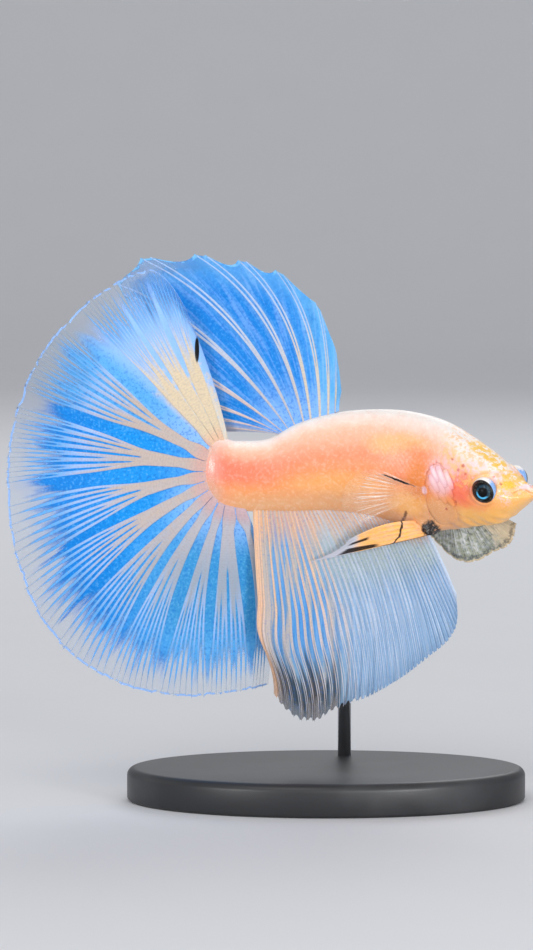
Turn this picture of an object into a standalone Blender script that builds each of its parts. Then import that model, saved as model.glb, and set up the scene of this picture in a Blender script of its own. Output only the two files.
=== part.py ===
"""Halfmoon betta fish: a still, life-size model of a male in mid turn, on a plain display stand.

The fish is drawn in its own straight frame, in millimetres: s runs along the spine from the tail-fin base (0)
to the snout, y to the fish's left and z up. bent() then curves the spine, so that the head turns and rolls
towards -Y, and every body part and fin follows it. +X is the way the fish swims and +Z is up. The origin is the
centre of the stand's underside.
"""

import math

import bpy
import numpy as np

MM = 0.001

# The fish's length from the tail-fin base to the snout, and the pose of its spine.
STANDARD_LENGTH = 52.4
TURN_START = 22.0
TURN_RADIUS = 27.3
HEAD_YAW = math.radians(42)
HEAD_ROLL = math.radians(10.5)
ROLL_AXIS_HEIGHT = -1.0

# Where the fish's frame sits over the middle of the stand.
FISH_X = -17.0
FISH_HEIGHT = 50.6

# Gap kept between neighbouring solids, the fins' thickness and the depth of the gill covers.
GAP = 0.25
FIN_THICKNESS = 0.5
GILL_COVER_DEPTH = 0.8

# The trunk's outline: place along the spine, height of the back, height of the belly, half of the width.
BODY = np.array([
    (-1.8, 1.2, -3.8, 0.30),
    (0.0, 3.7, -5.9, 0.95),
    (3.5, 3.7, -6.9, 1.50),
    (8.0, 3.9, -7.1, 2.10),
    (12.5, 6.2, -7.1, 2.70),
    (18.0, 7.8, -7.0, 3.25),
    (24.0, 8.4, -7.8, 3.90),
    (31.0, 8.0, -9.7, 4.60),
    (35.5, 6.8, -9.7, 4.90),
    (40.5, 4.0, -8.9, 4.75),
    (45.0, 1.1, -8.1, 4.05),
    (48.5, -1.85, -6.0, 2.90),
    (51.0, -2.75, -4.35, 1.70),
    (STANDARD_LENGTH, -3.2, -3.75, 0.25),
])

# Where the trunk is parted from the tail stem and from the head.
TAIL_STEM_END = 8.0
HEAD_START = 33.0

# Eyes: flattened balls that look sideways.
EYE_PLACE = 44.85
EYE_HEIGHT = -2.3
EYE_OFFSET = 3.75
EYE_RADIUS = 1.95
EYE_HALF_DEPTH = 1.5

# Gill covers: ovals on the head's sides, placed along the spine and by their angle round the head.
GILL_PLACE = 36.4
GILL_REACH = 2.85
GILL_MIDDLE = math.radians(-19)
GILL_SPREAD = math.radians(40)

# The oval that the tail fin's rays spring from, and the fan that they spread to.
FAN_ROOT = (3.0, -1.3)
FAN_ROOT_RADII = (4.9, 5.8)
FAN_CENTRE = (1.8, -0.75)
FAN_RADIUS = 32.8

# Stand: an oval plate, and a rod that rises behind the fish and turns into its left side.
BASE_LENGTH = 60.0
BASE_WIDTH = 38.0
BASE_HEIGHT = 5.0
ROD_RADIUS = 1.0
ROD_FOOT = (3.0, 12.0)
ROD_TURN_RADIUS = 5.0
ROD_HEIGHT = 51.5
ROD_TIP_Y = 1.0
ROD_FOOT_DEPTH = 3.0
ROD_CLEARANCE = 0.25

COLOURS = {
    "peach": ((0.86, 0.50, 0.36), 0.38),
    "cream": ((0.90, 0.66, 0.50), 0.40),
    "apricot": ((0.95, 0.55, 0.20), 0.40),
    "pearl": ((0.84, 0.62, 0.66), 0.30),
    "sky_blue": ((0.10, 0.42, 0.92), 0.45),
    "pale_blue": ((0.40, 0.58, 0.85), 0.45),
    "clear_fin": ((0.72, 0.68, 0.58), 0.45),
    "eye_black": ((0.02, 0.02, 0.03), 0.10),
    "base_black": ((0.03, 0.03, 0.035), 0.45),
    "steel": ((0.62, 0.62, 0.64), 0.30),
}
METALS = {"steel"}


# ---------------------------------------------------------------- shapes by formula


def through(knots, values, at):
    """A smooth curve through values at knots: each stretch is a cubic whose end slopes follow its neighbours."""
    knots, values, at = (np.asarray(a, float) for a in (knots, values, at))
    slopes = np.gradient(values, knots)
    i = np.clip(np.searchsorted(knots, at) - 1, 0, len(knots) - 2)
    step = knots[i + 1] - knots[i]
    t = np.clip((at - knots[i]) / step, 0, 1)
    return (
        (2 * t**3 - 3 * t**2 + 1) * values[i]
        + (t**3 - 2 * t**2 + t) * step * slopes[i]
        + (3 * t**2 - 2 * t**3) * values[i + 1]
        + (t**3 - t**2) * step * slopes[i + 1]
    )


def back(s):
    return through(BODY[:, 0], BODY[:, 1], s)


def belly(s):
    return through(BODY[:, 0], BODY[:, 2], s)


def half_width(s):
    return through(BODY[:, 0], BODY[:, 3], s)


def ramp(x, start, end):
    """0 before start, 1 after end, and a smooth rise between."""
    t = np.clip((np.asarray(x, float) - start) / (end - start), 0, 1)
    return t * t * (3 - 2 * t)


def bent(s, y, z):
    """Points of the straight fish put on the curved spine: straight tail, arc of TURN_RADIUS, straight head."""
    s, y, z = np.broadcast_arrays(*(np.asarray(a, float) for a in (s, y, z)))
    yaw = np.clip((s - TURN_START) / TURN_RADIUS, 0, HEAD_YAW)
    past = np.maximum(0, s - TURN_START - TURN_RADIUS * HEAD_YAW)
    roll = HEAD_ROLL * yaw / HEAD_YAW
    height = z - ROLL_AXIS_HEIGHT
    side = y * np.cos(roll) - height * np.sin(roll)
    up = ROLL_AXIS_HEIGHT + height * np.cos(roll) + y * np.sin(roll)
    x = np.minimum(s, TURN_START) + TURN_RADIUS * np.sin(yaw) + past * math.cos(HEAD_YAW)
    across = -TURN_RADIUS * (1 - np.cos(yaw)) - past * math.sin(HEAD_YAW)
    return np.stack([x + side * np.sin(yaw), across + side * np.cos(yaw), up], axis=-1)


def on_body(s, angle, inset=0.0):
    """The body's surface. angle is 0 on the left side and a quarter turn on the back; inset goes inwards."""
    middle = (back(s) + belly(s)) / 2
    half = np.maximum((back(s) - belly(s)) / 2 - inset, 0.02)
    wide = np.maximum(half_width(s) - inset, 0.02)
    squareness = 1 - 0.22 * ramp(s, 30, 40)
    low = np.maximum(0, -np.sin(angle)) ** 1.5
    narrowing = 1 - (0.45 - 0.25 * ramp(s, 20, 34)) * low
    y = wide * narrowing * np.sign(np.cos(angle)) * np.abs(np.cos(angle)) ** squareness
    return s, y, middle + half * np.sin(angle)


# ---------------------------------------------------------------- meshes


def signed_volume(points, faces):
    """Six times the volume that the faces enclose, positive if they point outwards."""
    total = 0.0
    for face in faces:
        a = points[face[0]]
        for b, c in zip(face[1:-1], face[2:]):
            total += float(np.dot(a, np.cross(points[b], points[c])))
    return total


def solid(name, points, faces, colour, parent=None):
    """One closed body from points in millimetres, with its faces turned outwards."""
    points = np.asarray(points, float)
    if signed_volume(points, faces) < 0:
        faces = [tuple(reversed(face)) for face in faces]
    mesh = bpy.data.meshes.new(name)
    mesh.from_pydata((points * MM).tolist(), [], faces)
    mesh.materials.append(material(colour))
    mesh.shade_smooth()
    mesh.set_sharp_from_angle(angle=math.radians(40))
    made = bpy.data.objects.new(name, mesh)
    made.parent = parent
    bpy.context.scene.collection.objects.link(made)
    return made


def material(name):
    """A plain finish of that name, made once."""
    made = bpy.data.materials.get(name)
    if made is None:
        (red, green, blue), roughness = COLOURS[name]
        made = bpy.data.materials.new(name)
        made.use_nodes = True
        shader = made.node_tree.nodes["Principled BSDF"]
        shader.inputs["Base Color"].default_value = (red, green, blue, 1)
        shader.inputs["Roughness"].default_value = roughness
        shader.inputs["Metallic"].default_value = 1.0 if name in METALS else 0.0
    return made


def grid_faces(rows, columns, start=0, around=False):
    """Quads between neighbouring points of a grid, which may close on itself along its columns."""
    last = columns if around else columns - 1
    return [
        (
            start + i * columns + j,
            start + i * columns + (j + 1) % columns,
            start + (i + 1) * columns + (j + 1) % columns,
            start + (i + 1) * columns + j,
        )
        for i in range(rows - 1)
        for j in range(last)
    ]


def tube(rings):
    """Points and faces of a body lofted through closed rings, with a fan of triangles over each end."""
    rows, columns = rings.shape[:2]
    points = np.concatenate([rings.reshape(-1, 3), [rings[0].mean(0)], [rings[-1].mean(0)]])
    faces = grid_faces(rows, columns, around=True)
    first, last = rows * columns, (rows - 1) * columns
    faces += [(first, (j + 1) % columns, j) for j in range(columns)]
    faces += [(first + 1, last + j, last + (j + 1) % columns) for j in range(columns)]
    return points, faces


def slab(front, rear):
    """Points and faces of a plate between two grids of the same size, closed round its rim."""
    rows, columns = front.shape[:2]
    count = rows * columns
    points = np.concatenate([front.reshape(-1, 3), rear.reshape(-1, 3)])
    faces = grid_faces(rows, columns)
    faces += [tuple(reversed(face)) for face in grid_faces(rows, columns, count)]
    rim = list(range(columns))
    rim += [i * columns + columns - 1 for i in range(1, rows)]
    rim += [(rows - 1) * columns + j for j in range(columns - 2, -1, -1)]
    rim += [i * columns for i in range(rows - 2, 0, -1)]
    for a, b in zip(rim, rim[1:] + rim[:1]):
        faces.append((b, a, a + count, b + count))
    return points, faces


def cut(target, cutter, operation="DIFFERENCE"):
    """Cuts target with a hidden cutter, or keeps only what lies in it."""
    cutter.hide_render = True
    cutter.display_type = "WIRE"
    boolean = target.modifiers.new(cutter.name, "BOOLEAN")
    boolean.operation = operation
    boolean.object = cutter
    boolean.solver = "EXACT"


# ---------------------------------------------------------------- body


def body_length(name, places, around, colour, fish):
    """A length of the body through the given places along the spine."""
    angle = np.linspace(0, 2 * math.pi, around, endpoint=False)
    rings = bent(*on_body(places[:, None], angle[None, :]))
    return solid(name, *tube(rings), colour, fish)


def tail_root_cutter(fish):
    """Everything behind the oval that the tail fin springs from: a thick C-shaped slab round the stem's end."""
    angle = np.radians(np.linspace(84, 282, 23))
    reach = np.array([1.0, 1.8])
    x = FAN_ROOT[0] + (FAN_ROOT_RADII[0] - GAP) * np.cos(angle)[:, None] * reach
    z = FAN_ROOT[1] + (FAN_ROOT_RADII[1] - GAP) * np.sin(angle)[:, None] * reach
    grids = [bent(x, y, z) for y in (-4.0, 4.0)]
    return solid("cutter_tail_root", *slab(*grids), "cream", fish)


def prism(name, outline, fish):
    """A plate across the whole head, whose side view is the outline in the straight fish's s and z."""
    outline = np.array(outline)
    rings = np.stack([bent(outline[:, 0], y, outline[:, 1]) for y in (-7.0, 7.0)])
    return solid(name, *tube(rings), "cream", fish)


def jaw_outline(grow):
    """The lower jaw's side view: the mouth's slit, the cheek behind it and everything below."""
    return [
        (STANDARD_LENGTH + 2.0, -3.9 + grow),
        (STANDARD_LENGTH - 0.2, -3.5 + grow),
        (50.1 - grow, -3.0 + grow),
        (48.4 - grow, -4.3 + grow),
        (46.9 - grow, -5.9 + grow),
        (45.6 - grow, -11.0),
        (STANDARD_LENGTH + 2.0, -11.0),
    ]


def gill_cover_layer(side, grow, inset, rings, sectors):
    """An oval of the body's surface over the gills, grown by grow and sunk by inset, as rings round its middle."""
    share = np.linspace(0, 1, rings + 1)[1:, None]
    turn = np.linspace(0, 2 * math.pi, sectors, endpoint=False)[None, :]
    place = GILL_PLACE + (GILL_REACH + grow) * share * np.cos(turn)
    rise = GILL_MIDDLE + (GILL_SPREAD + grow / 7.0) * share * np.sin(turn)
    middle = bent(*on_body(GILL_PLACE, GILL_MIDDLE if side > 0 else math.pi - GILL_MIDDLE, inset))
    return bent(*on_body(place, rise if side > 0 else math.pi - rise, inset)), middle


def gill_cover_shape(side, grow, outer, inner):
    """Points and faces of the shell between two depths under that oval."""
    rings, sectors = 3, 16
    top, top_middle = gill_cover_layer(side, grow, outer, rings, sectors)
    low, low_middle = gill_cover_layer(side, grow, inner, rings, sectors)
    layers = np.concatenate([top, low[::-1]])
    points = np.concatenate([layers.reshape(-1, 3), [top_middle], [low_middle]])
    faces = grid_faces(len(layers), sectors, around=True)
    first, last = len(layers) * sectors, (len(layers) - 1) * sectors
    faces += [(first, (j + 1) % sectors, j) for j in range(sectors)]
    faces += [(first + 1, last + j, last + (j + 1) % sectors) for j in range(sectors)]
    return points, faces


def eye_shape(side, grow):
    """Points and faces of a ball flattened sideways, from rings round its sideways axis."""
    rise = np.linspace(-math.pi / 2, math.pi / 2, 9)[1:-1, None]
    turn = np.linspace(0, 2 * math.pi, 14, endpoint=False)[None, :]
    radius = (EYE_RADIUS + grow) * np.cos(rise)
    s = EYE_PLACE + radius * np.cos(turn)
    z = EYE_HEIGHT + radius * np.sin(turn)
    y = side * (EYE_OFFSET + (EYE_HALF_DEPTH + grow) * np.sin(rise)) + 0 * turn
    points, faces = tube(bent(s, y, z))
    for end, reach in ((-2, -1), (-1, 1)):
        points[end] = bent(EYE_PLACE, side * (EYE_OFFSET + reach * (EYE_HALF_DEPTH + grow)), EYE_HEIGHT)
    return points, faces


def make_body(fish):
    """Tail stem, trunk, head, lower jaw, gill covers and eyes."""
    stem = body_length("tail_stem", np.linspace(-1.5, TAIL_STEM_END - GAP, 8), 20, "peach", fish)
    cut(stem, tail_root_cutter(fish))
    trunk = body_length("trunk", np.linspace(TAIL_STEM_END, HEAD_START - GAP, 15), 24, "peach", fish)
    cut(trunk, rod("cutter_rod_socket", ROD_RADIUS + ROD_CLEARANCE, ROD_TIP_Y - ROD_CLEARANCE, fish))
    places = HEAD_START + (STANDARD_LENGTH - HEAD_START) * np.sin(np.linspace(0, math.pi / 2, 15))
    head = body_length("head", places, 24, "peach", fish)
    jaw = body_length("lower_jaw", places[6:], 24, "apricot", fish)
    cut(head, prism("cutter_head", jaw_outline(GAP), fish))
    cut(jaw, prism("cutter_jaw", jaw_outline(0), fish), "INTERSECT")
    for side, name in ((-1, "right"), (1, "left")):
        solid(f"gill_cover_{name}", *gill_cover_shape(side, 0, 0, GILL_COVER_DEPTH), "pearl", fish)
        recess = gill_cover_shape(side, 1.2 * GAP, -0.6, GILL_COVER_DEPTH + 1.2 * GAP)
        cut(head, solid(f"cutter_gill_{name}", *recess, "pearl", fish))
        solid(f"eye_{name}", *eye_shape(side, 0), "eye_black", fish)
        cut(head, solid(f"cutter_eye_{name}", *eye_shape(side, GAP), "eye_black", fish))


# ---------------------------------------------------------------- fins


def rays(root, tip, bow, v):
    """Places in s and z at share v along curved rays, each from its root, by way of its bow point, to its tip."""
    return tuple((1 - v) ** 2 * r + 2 * v * (1 - v) * b + v**2 * t for r, b, t in zip(root, bow, tip))


def bow_point(root, tip, angle, share):
    """A ray's bow point: out of its root at an angle, for a share of the way to its tip."""
    length = np.hypot(tip[0] - root[0], tip[1] - root[1]) * share
    return root[0] + length * np.cos(angle), root[1] + length * np.sin(angle)


def notches(u, v, count, depth):
    """Shortens the membrane between the ray tips, so that the fin's edge is scalloped."""
    return 1 - depth * v * np.abs(np.sin(math.pi * count * u))


def dorsal_fin(u, v):
    """Back fin: u runs from its rear edge to its front one and v from the back to the ray tips."""
    root_s = 9.3 + 9.6 * u**1.6
    root = (root_s, back(root_s) + GAP)
    share = [0, 0.08, 0.17, 0.25, 0.32, 0.45, 0.58, 0.70, 0.80, 0.89, 0.96, 1]
    tip = (
        through(share, [0.6, -3.2, -6.8, -11.2, -14.8, -7.2, 3.0, 9.9, 14.5, 17.4, 18.8, 19.3], u),
        through(share, [4.7, 7.2, 12.6, 21.2, 28.0, 31.5, 30.9, 29.0, 25.5, 20.5, 15.3, 11.0], u),
    )
    angle = np.radians(88 + 88 * (1 - u) ** 2)
    s, z = rays(root, tip, bow_point(root, tip, angle, 0.5), v * notches(u, v, 18, 0.025))
    y = 3.2 * v**1.4 * (1.05 - 0.5 * u) + 0.55 * v * np.sin(2 * math.pi * (2.3 * u + 0.3 * v))
    return s, y, z


def caudal_fin(u, v):
    """Tail fin: u runs from its upper edge to its lower one and v from the tail stem to the ray tips."""
    start = np.radians(100 + 174 * u)
    slide = 1.9 * ramp(u, 0.9, 1)
    root = (
        FAN_ROOT[0] + FAN_ROOT_RADII[0] * np.cos(start) + slide,
        FAN_ROOT[1] + FAN_ROOT_RADII[1] * np.sin(start) - 0.15 * slide,
    )
    degrees = 103.5 + 177.5 * u
    reach = FAN_RADIUS + 4.1 * np.exp(-(((degrees - 233) / 30) ** 2))
    reach = reach + 0.7 * ramp(degrees, 240, 262) - 10.5 * np.exp(-(((degrees - 100.5) / 5.5) ** 2))
    angle = np.radians(degrees)
    tip = (FAN_CENTRE[0] + reach * np.cos(angle), FAN_CENTRE[1] + reach * np.sin(angle))
    outset = (start + angle) / 2 + 0.28 * ramp(u, 0.88, 1)
    s, z = rays(root, tip, bow_point(root, tip, outset, 0.45), v * notches(u, v, 38, 0.016))
    lean = 2.5 * v**0.75 * ramp(u, 0.5, 1) - 2.8 * v**1.3 * (1 - ramp(u, 0, 0.9))
    waves = 1.15 * v**1.6 * np.sin(2 * math.pi * (3.1 * u + 0.10 * v))
    waves = waves + 0.4 * v**2 * np.sin(2 * math.pi * 7.3 * u)
    return s, lean + waves * ramp(v, 0, 0.5) * (1 - 0.6 * ramp(u, 0.85, 1)), z


def anal_fin(u, v):
    """Belly fin: u runs from its rear edge to its front one and v from the belly to the ray tips."""
    root_s = 6.0 + 26.2 * u
    root = (root_s, belly(root_s) - GAP)
    share = [0, 0.10, 0.22, 0.36, 0.50, 0.62, 0.74, 0.85, 0.94, 1]
    tip = (
        through(share, [8.2, 10.6, 14.2, 18.8, 24.2, 28.6, 32.0, 34.7, 35.9, 36.0], u),
        through(share, [-34.6, -37.6, -38.7, -36.4, -34.6, -32.1, -29.2, -26.5, -23.4, -19.8], u),
    )
    angle = np.radians(-88 + 28 * ramp(u, 0.02, 0.55) - 4 * ramp(u, 0.7, 1))
    s, z = rays(root, tip, bow_point(root, tip, angle, 0.5), v * notches(u, v, 26, 0.018))
    curl = (1 - ramp(u, 0.05, 0.5)) * ramp(v, 0.45, 0.75)
    s = s + 1.1 * curl * np.sin(2 * math.pi * (1.25 * v + 0.1))
    pleats = 0.62 * (1 - ramp(u, 0.3, 0.75)) * ramp(v, 0.25, 0.9)
    pleats = pleats * np.sin(2 * math.pi * (9.5 * u + 0.35 * v))
    swell = 1.0 * v**1.5 * np.sin(2 * math.pi * (1.35 * u + 0.15))
    return s, -3.2 * v**0.75 * (1 - u) ** 0.8 + pleats + swell, z


def pectoral_fin(side):
    """Side fin: the right one is laid back along the flank, the left one is swept forwards and down."""
    laid_back = side < 0

    def shape(u, v):
        if laid_back:
            angle = np.radians(202 - 42 * u)
            reach = 13.4 + 0.6 * np.sin(math.pi * u) - 6.3 * u**3
        else:
            angle = np.radians(-102 + 66 * u)
            reach = 9.2 + 4.0 * ramp(u, 0, 0.38) - 1.0 * ramp(u, 0.4, 0.62) - 1.0 * ramp(u, 0.75, 1)
        root = (33.1 + 0.6 * np.cos(angle), -3.1 + (0.9 - 1.8 * u) * (-1 if laid_back else 1))
        tip = (root[0] + reach * np.cos(angle), root[1] + reach * np.sin(angle))
        s, z = rays(root, tip, bow_point(root, tip, angle, 0.5), v * notches(u, v, 9, 0.04))
        out = 5.3 + (2.2 * v**1.2 if laid_back else 1.0 * v) + 0.3 * v * np.sin(2 * math.pi * 2.5 * u)
        return s, side * out, z

    return shape


def pelvic_fin(side):
    """Belly-side fin: a narrow blade swept back, whose front rays run out into a long point."""

    def shape(u, v):
        root = (30.6 + 3.0 * u, belly(30.6 + 3.0 * u) - GAP + 0.3 * (1 - u))
        tip = (19.8 - 5.5 * u**1.5, -11.9 - 2.3 * u)
        bow = (25.0 + 4.2 * u, -8.4 - 2.0 * u)
        s, z = rays(root, tip, bow, v)
        return s, side * (1.2 + 2.0 * np.sin(0.8 * math.pi * v**0.8)), z

    return shape


def plate(name, surface, across, along, colour, fish):
    """A fin of even thickness, FIN_THICKNESS, about its surface."""
    u, v = np.meshgrid(np.linspace(0, 1, across + 1), np.linspace(0, 1, along + 1))
    nudge = 1e-3
    middle = bent(*surface(u, v))
    over_u = bent(*surface(np.clip(u + nudge, 0, 1), v)) - bent(*surface(np.clip(u - nudge, 0, 1), v))
    over_v = bent(*surface(u, np.clip(v + nudge, 0, 1))) - bent(*surface(u, np.clip(v - nudge, 0, 1)))
    normal = np.cross(over_u, over_v)
    normal /= np.linalg.norm(normal, axis=-1, keepdims=True)
    half = FIN_THICKNESS / 2
    return solid(name, *slab(middle + half * normal, middle - half * normal), colour, fish)


def make_fins(fish):
    plate("dorsal_fin", dorsal_fin, 34, 6, "sky_blue", fish)
    plate("caudal_fin", caudal_fin, 76, 6, "sky_blue", fish)
    plate("anal_fin", anal_fin, 48, 7, "pale_blue", fish)
    for side, name in ((-1, "right"), (1, "left")):
        plate(f"pectoral_fin_{name}", pectoral_fin(side), 11, 4, "clear_fin", fish)
        plate(f"pelvic_fin_{name}", pelvic_fin(side), 4, 10, "apricot", fish)


# ---------------------------------------------------------------- stand


def rod(name, radius, tip_y, parent):
    """A round rod: straight up from the base, a quarter bend, and straight into the fish's left side."""
    foot_x, foot_y = ROD_FOOT
    turn = np.linspace(0, math.pi / 2, 7)
    line = [(foot_x, foot_y, BASE_HEIGHT - ROD_FOOT_DEPTH)]
    for angle in turn:
        y = foot_y - ROD_TURN_RADIUS * (1 - math.cos(angle))
        line.append((foot_x, y, ROD_HEIGHT - ROD_TURN_RADIUS * (1 - math.sin(angle))))
    line.append((foot_x, tip_y, ROD_HEIGHT))
    tilts = [0, *turn, math.pi / 2]
    around = np.linspace(0, 2 * math.pi, 12, endpoint=False)
    rings = [
        np.stack([
            x + radius * np.cos(around),
            y + radius * np.sin(around) * math.cos(tilt),
            z + radius * np.sin(around) * math.sin(tilt),
        ], axis=-1)
        for (x, y, z), tilt in zip(line, tilts)
    ]
    made = solid(name, *tube(np.array(rings)), "steel")
    if parent is not None:
        made.parent = parent
        made.matrix_parent_inverse = parent.matrix_world.inverted()
    return made


def make_stand():
    """An oval plate with a rounded top edge and a socket for the rod, and the rod."""
    turn = np.linspace(0, 2 * math.pi, 48, endpoint=False)
    edge = 1.2
    profile = [(0.5, 0), (0.0, 0.5), (0.0, BASE_HEIGHT - edge)]
    for angle in np.radians((30, 60, 90)):
        profile.append((edge * (1 - math.cos(angle)), BASE_HEIGHT - edge * (1 - math.sin(angle))))
    rings = [
        np.stack([
            (BASE_LENGTH / 2 - inset) * np.cos(turn),
            (BASE_WIDTH / 2 - inset) * np.sin(turn),
            np.full(len(turn), height),
        ], axis=-1)
        for inset, height in profile
    ]
    base = solid("stand_base", *tube(np.array(rings)), "base_black")
    around = np.linspace(0, 2 * math.pi, 12, endpoint=False)
    socket = [
        np.stack([
            ROD_FOOT[0] + (ROD_RADIUS + ROD_CLEARANCE) * np.cos(around),
            ROD_FOOT[1] + (ROD_RADIUS + ROD_CLEARANCE) * np.sin(around),
            np.full(len(around), height),
        ], axis=-1)
        for height in (BASE_HEIGHT - ROD_FOOT_DEPTH - ROD_CLEARANCE, BASE_HEIGHT + 1)
    ]
    cut(base, solid("cutter_base_socket", *tube(np.array(socket)), "base_black"))
    rod("stand_rod", ROD_RADIUS, ROD_TIP_Y, None)


def main():
    for old in list(bpy.data.objects):
        bpy.data.objects.remove(old)
    fish = bpy.data.objects.new("fish", None)
    fish.location = (FISH_X * MM, 0, FISH_HEIGHT * MM)
    bpy.context.scene.collection.objects.link(fish)
    bpy.context.view_layer.update()
    make_body(fish)
    make_fins(fish)
    make_stand()


main()
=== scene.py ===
"""Halfmoon betta fish, the finished look: a still, life-size model in mid turn on a plain display stand.

The fish is drawn in its own straight frame, in millimetres: s runs along the spine from the tail-fin base to
the snout, y to the fish's left and z up. bent() curves the spine and puts each piece in its place, in metres.
"""

import math

import bpy
import numpy as np
from bpy.props import FloatProperty, FloatVectorProperty, IntProperty, PointerProperty
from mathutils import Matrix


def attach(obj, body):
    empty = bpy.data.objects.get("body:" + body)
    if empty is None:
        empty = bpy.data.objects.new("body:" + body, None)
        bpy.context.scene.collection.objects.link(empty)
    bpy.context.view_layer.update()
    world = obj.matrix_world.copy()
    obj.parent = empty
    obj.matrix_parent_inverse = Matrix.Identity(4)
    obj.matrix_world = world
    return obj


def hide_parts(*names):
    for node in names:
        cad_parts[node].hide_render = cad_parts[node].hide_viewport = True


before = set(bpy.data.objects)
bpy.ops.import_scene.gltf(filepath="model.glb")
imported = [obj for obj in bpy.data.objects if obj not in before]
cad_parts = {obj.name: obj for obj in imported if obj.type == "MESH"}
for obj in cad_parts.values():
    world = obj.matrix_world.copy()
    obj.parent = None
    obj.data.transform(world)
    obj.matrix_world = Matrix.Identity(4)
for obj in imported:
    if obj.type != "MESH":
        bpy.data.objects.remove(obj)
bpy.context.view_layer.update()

bl_info = {
    "name": "Betta Fish Model",
    "version": (1, 0, 0),
    "blender": (4, 5, 0),
    "location": "3D View > Sidebar > Betta",
    "description": "Builds a life-size halfmoon betta fish with scales, rayed fins and a display stand",
    "category": "Add Mesh",
}

MM = 0.001
TURN = 2 * math.pi

# The fish's length from the tail-fin base to the snout, and the pose of its spine.
STANDARD_LENGTH = 52.4
TURN_START = 22.0
TURN_RADIUS = 27.3
HEAD_YAW = math.radians(42)
HEAD_ROLL = math.radians(10.5)
ROLL_AXIS_HEIGHT = -1.0
FISH_PLACE = np.array([-17.0, 0.0, 50.6])

# The body's outline: place along the spine, height of the back, height of the belly, half of the width.
BODY = np.array([
    (-1.8, 1.2, -3.8, 0.30),
    (0.0, 3.7, -5.9, 0.95),
    (3.5, 3.7, -6.9, 1.50),
    (8.0, 3.9, -7.1, 2.10),
    (12.5, 6.2, -7.1, 2.70),
    (18.0, 7.8, -7.0, 3.25),
    (24.0, 8.4, -7.8, 3.90),
    (31.0, 8.0, -9.7, 4.60),
    (35.5, 6.8, -9.7, 4.90),
    (40.5, 4.0, -8.9, 4.75),
    (45.0, 1.1, -8.1, 4.05),
    (48.5, -1.85, -6.0, 2.90),
    (51.0, -2.75, -4.35, 1.70),
    (STANDARD_LENGTH, -3.2, -3.75, 0.25),
])

# How far the roots of the fins stand off the body's outline.
ROOT_GAP = 0.25

# Eyes: flattened balls. The gaze is turned forwards and down from the ball's sideways axis, and the pupil
# sits off the middle of the dark disc by shares of the ball's radius.
EYE_PLACE = 44.85
EYE_HEIGHT = -2.3
EYE_OFFSET = 3.75
EYE_RADIUS = 1.95
EYE_HALF_DEPTH = 1.5
EYE_RINGS = 56
EYE_SECTORS = 96
PUPIL_FORWARDS = 0.28
PUPIL_UP = 0.17
GAZE_FORWARDS = math.radians(7)
GAZE_DOWN = math.radians(11)

# The skin's grid: rows over the trunk, the place where the head's rows start, those rows, and columns.
TRUNK_ROWS = 105
HEAD_START = 31.8
HEAD_ROWS = 196
SKIN_COLUMNS = 244

# Gill covers: ovals placed along the spine and by their angle round the head.
GILL_PLACE = 36.4
GILL_REACH = 2.85
GILL_MIDDLE = math.radians(-19)
GILL_SPREAD = math.radians(40)

# The oval of leaf-shaped scales on the gill cover, in the straight frame's s and z.
LEAF_MIDDLE = np.array([37.15, -2.0])
LEAF_REACH = np.array([2.3, 2.9])

# One scale's grid of points, and its patch on the unwrap: half of its width and the shift of its two faces.
SCALE_GRID = (6, 5)
PATCH_HALF = 0.0007
PATCH_SHIFT = 0.0008

# The mouth's cleft from the snout back to its corner, in the straight frame's s and z.
MOUTH = np.array([(52.3, -3.35), (51.2, -2.95), (50.3, -2.62), (49.5, -2.50), (48.9, -2.75)])

# The groove in front of the gill cover.
CHEEK = np.array([(38.2, 0.9), (39.2, 0.1), (39.6, -0.9), (39.9, -2.1), (39.6, -4.3)])

# How far red, green and blue light spread under the skin, as shares of the spread's scale.
FLESH_GLOW = (0.9, 0.35, 0.2)

# The oval that the tail fin's rays spring from, and the fan that they spread to.
FAN_ROOT = (3.0, -1.3)
FAN_ROOT_RADII = (4.9, 5.8)
FAN_CENTRE = (1.8, -0.75)
FAN_RADIUS = 32.8

# The joints across a fin ray's bone: radians that the sine that draws them turns from root to tip.
RAY_JOINTS = 420.0

# Stand: an oval plate, and a rod that rises behind the fish and turns into its left side.
BASE_LENGTH = 60.0
BASE_WIDTH = 38.0
BASE_HEIGHT = 5.0
BASE_ROUNDING = 1.2
ROD_RADIUS = 1.0
ROD_FOOT = (3.0, 12.0)
ROD_TURN_RADIUS = 5.0
ROD_HEIGHT = 51.5
ROD_TIP_Y = 1.0

# The camera: distance in metres, how far it looks down, the x and z that it aims at, and focal length.
CAMERA_DISTANCE = 0.600
CAMERA_RISE = math.radians(4)
CAMERA_AIM = (-0.008975, 0.04905)
CAMERA_LENS = 151.6

# The stage's paper floor, in metres and in steps round it, and the strength of the light from all round.
FLOOR_RADIUS = 1.3
FLOOR_CURVE = 0.5
FLOOR_SECTORS = 96
SKY_LIGHT = 0.48

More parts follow.
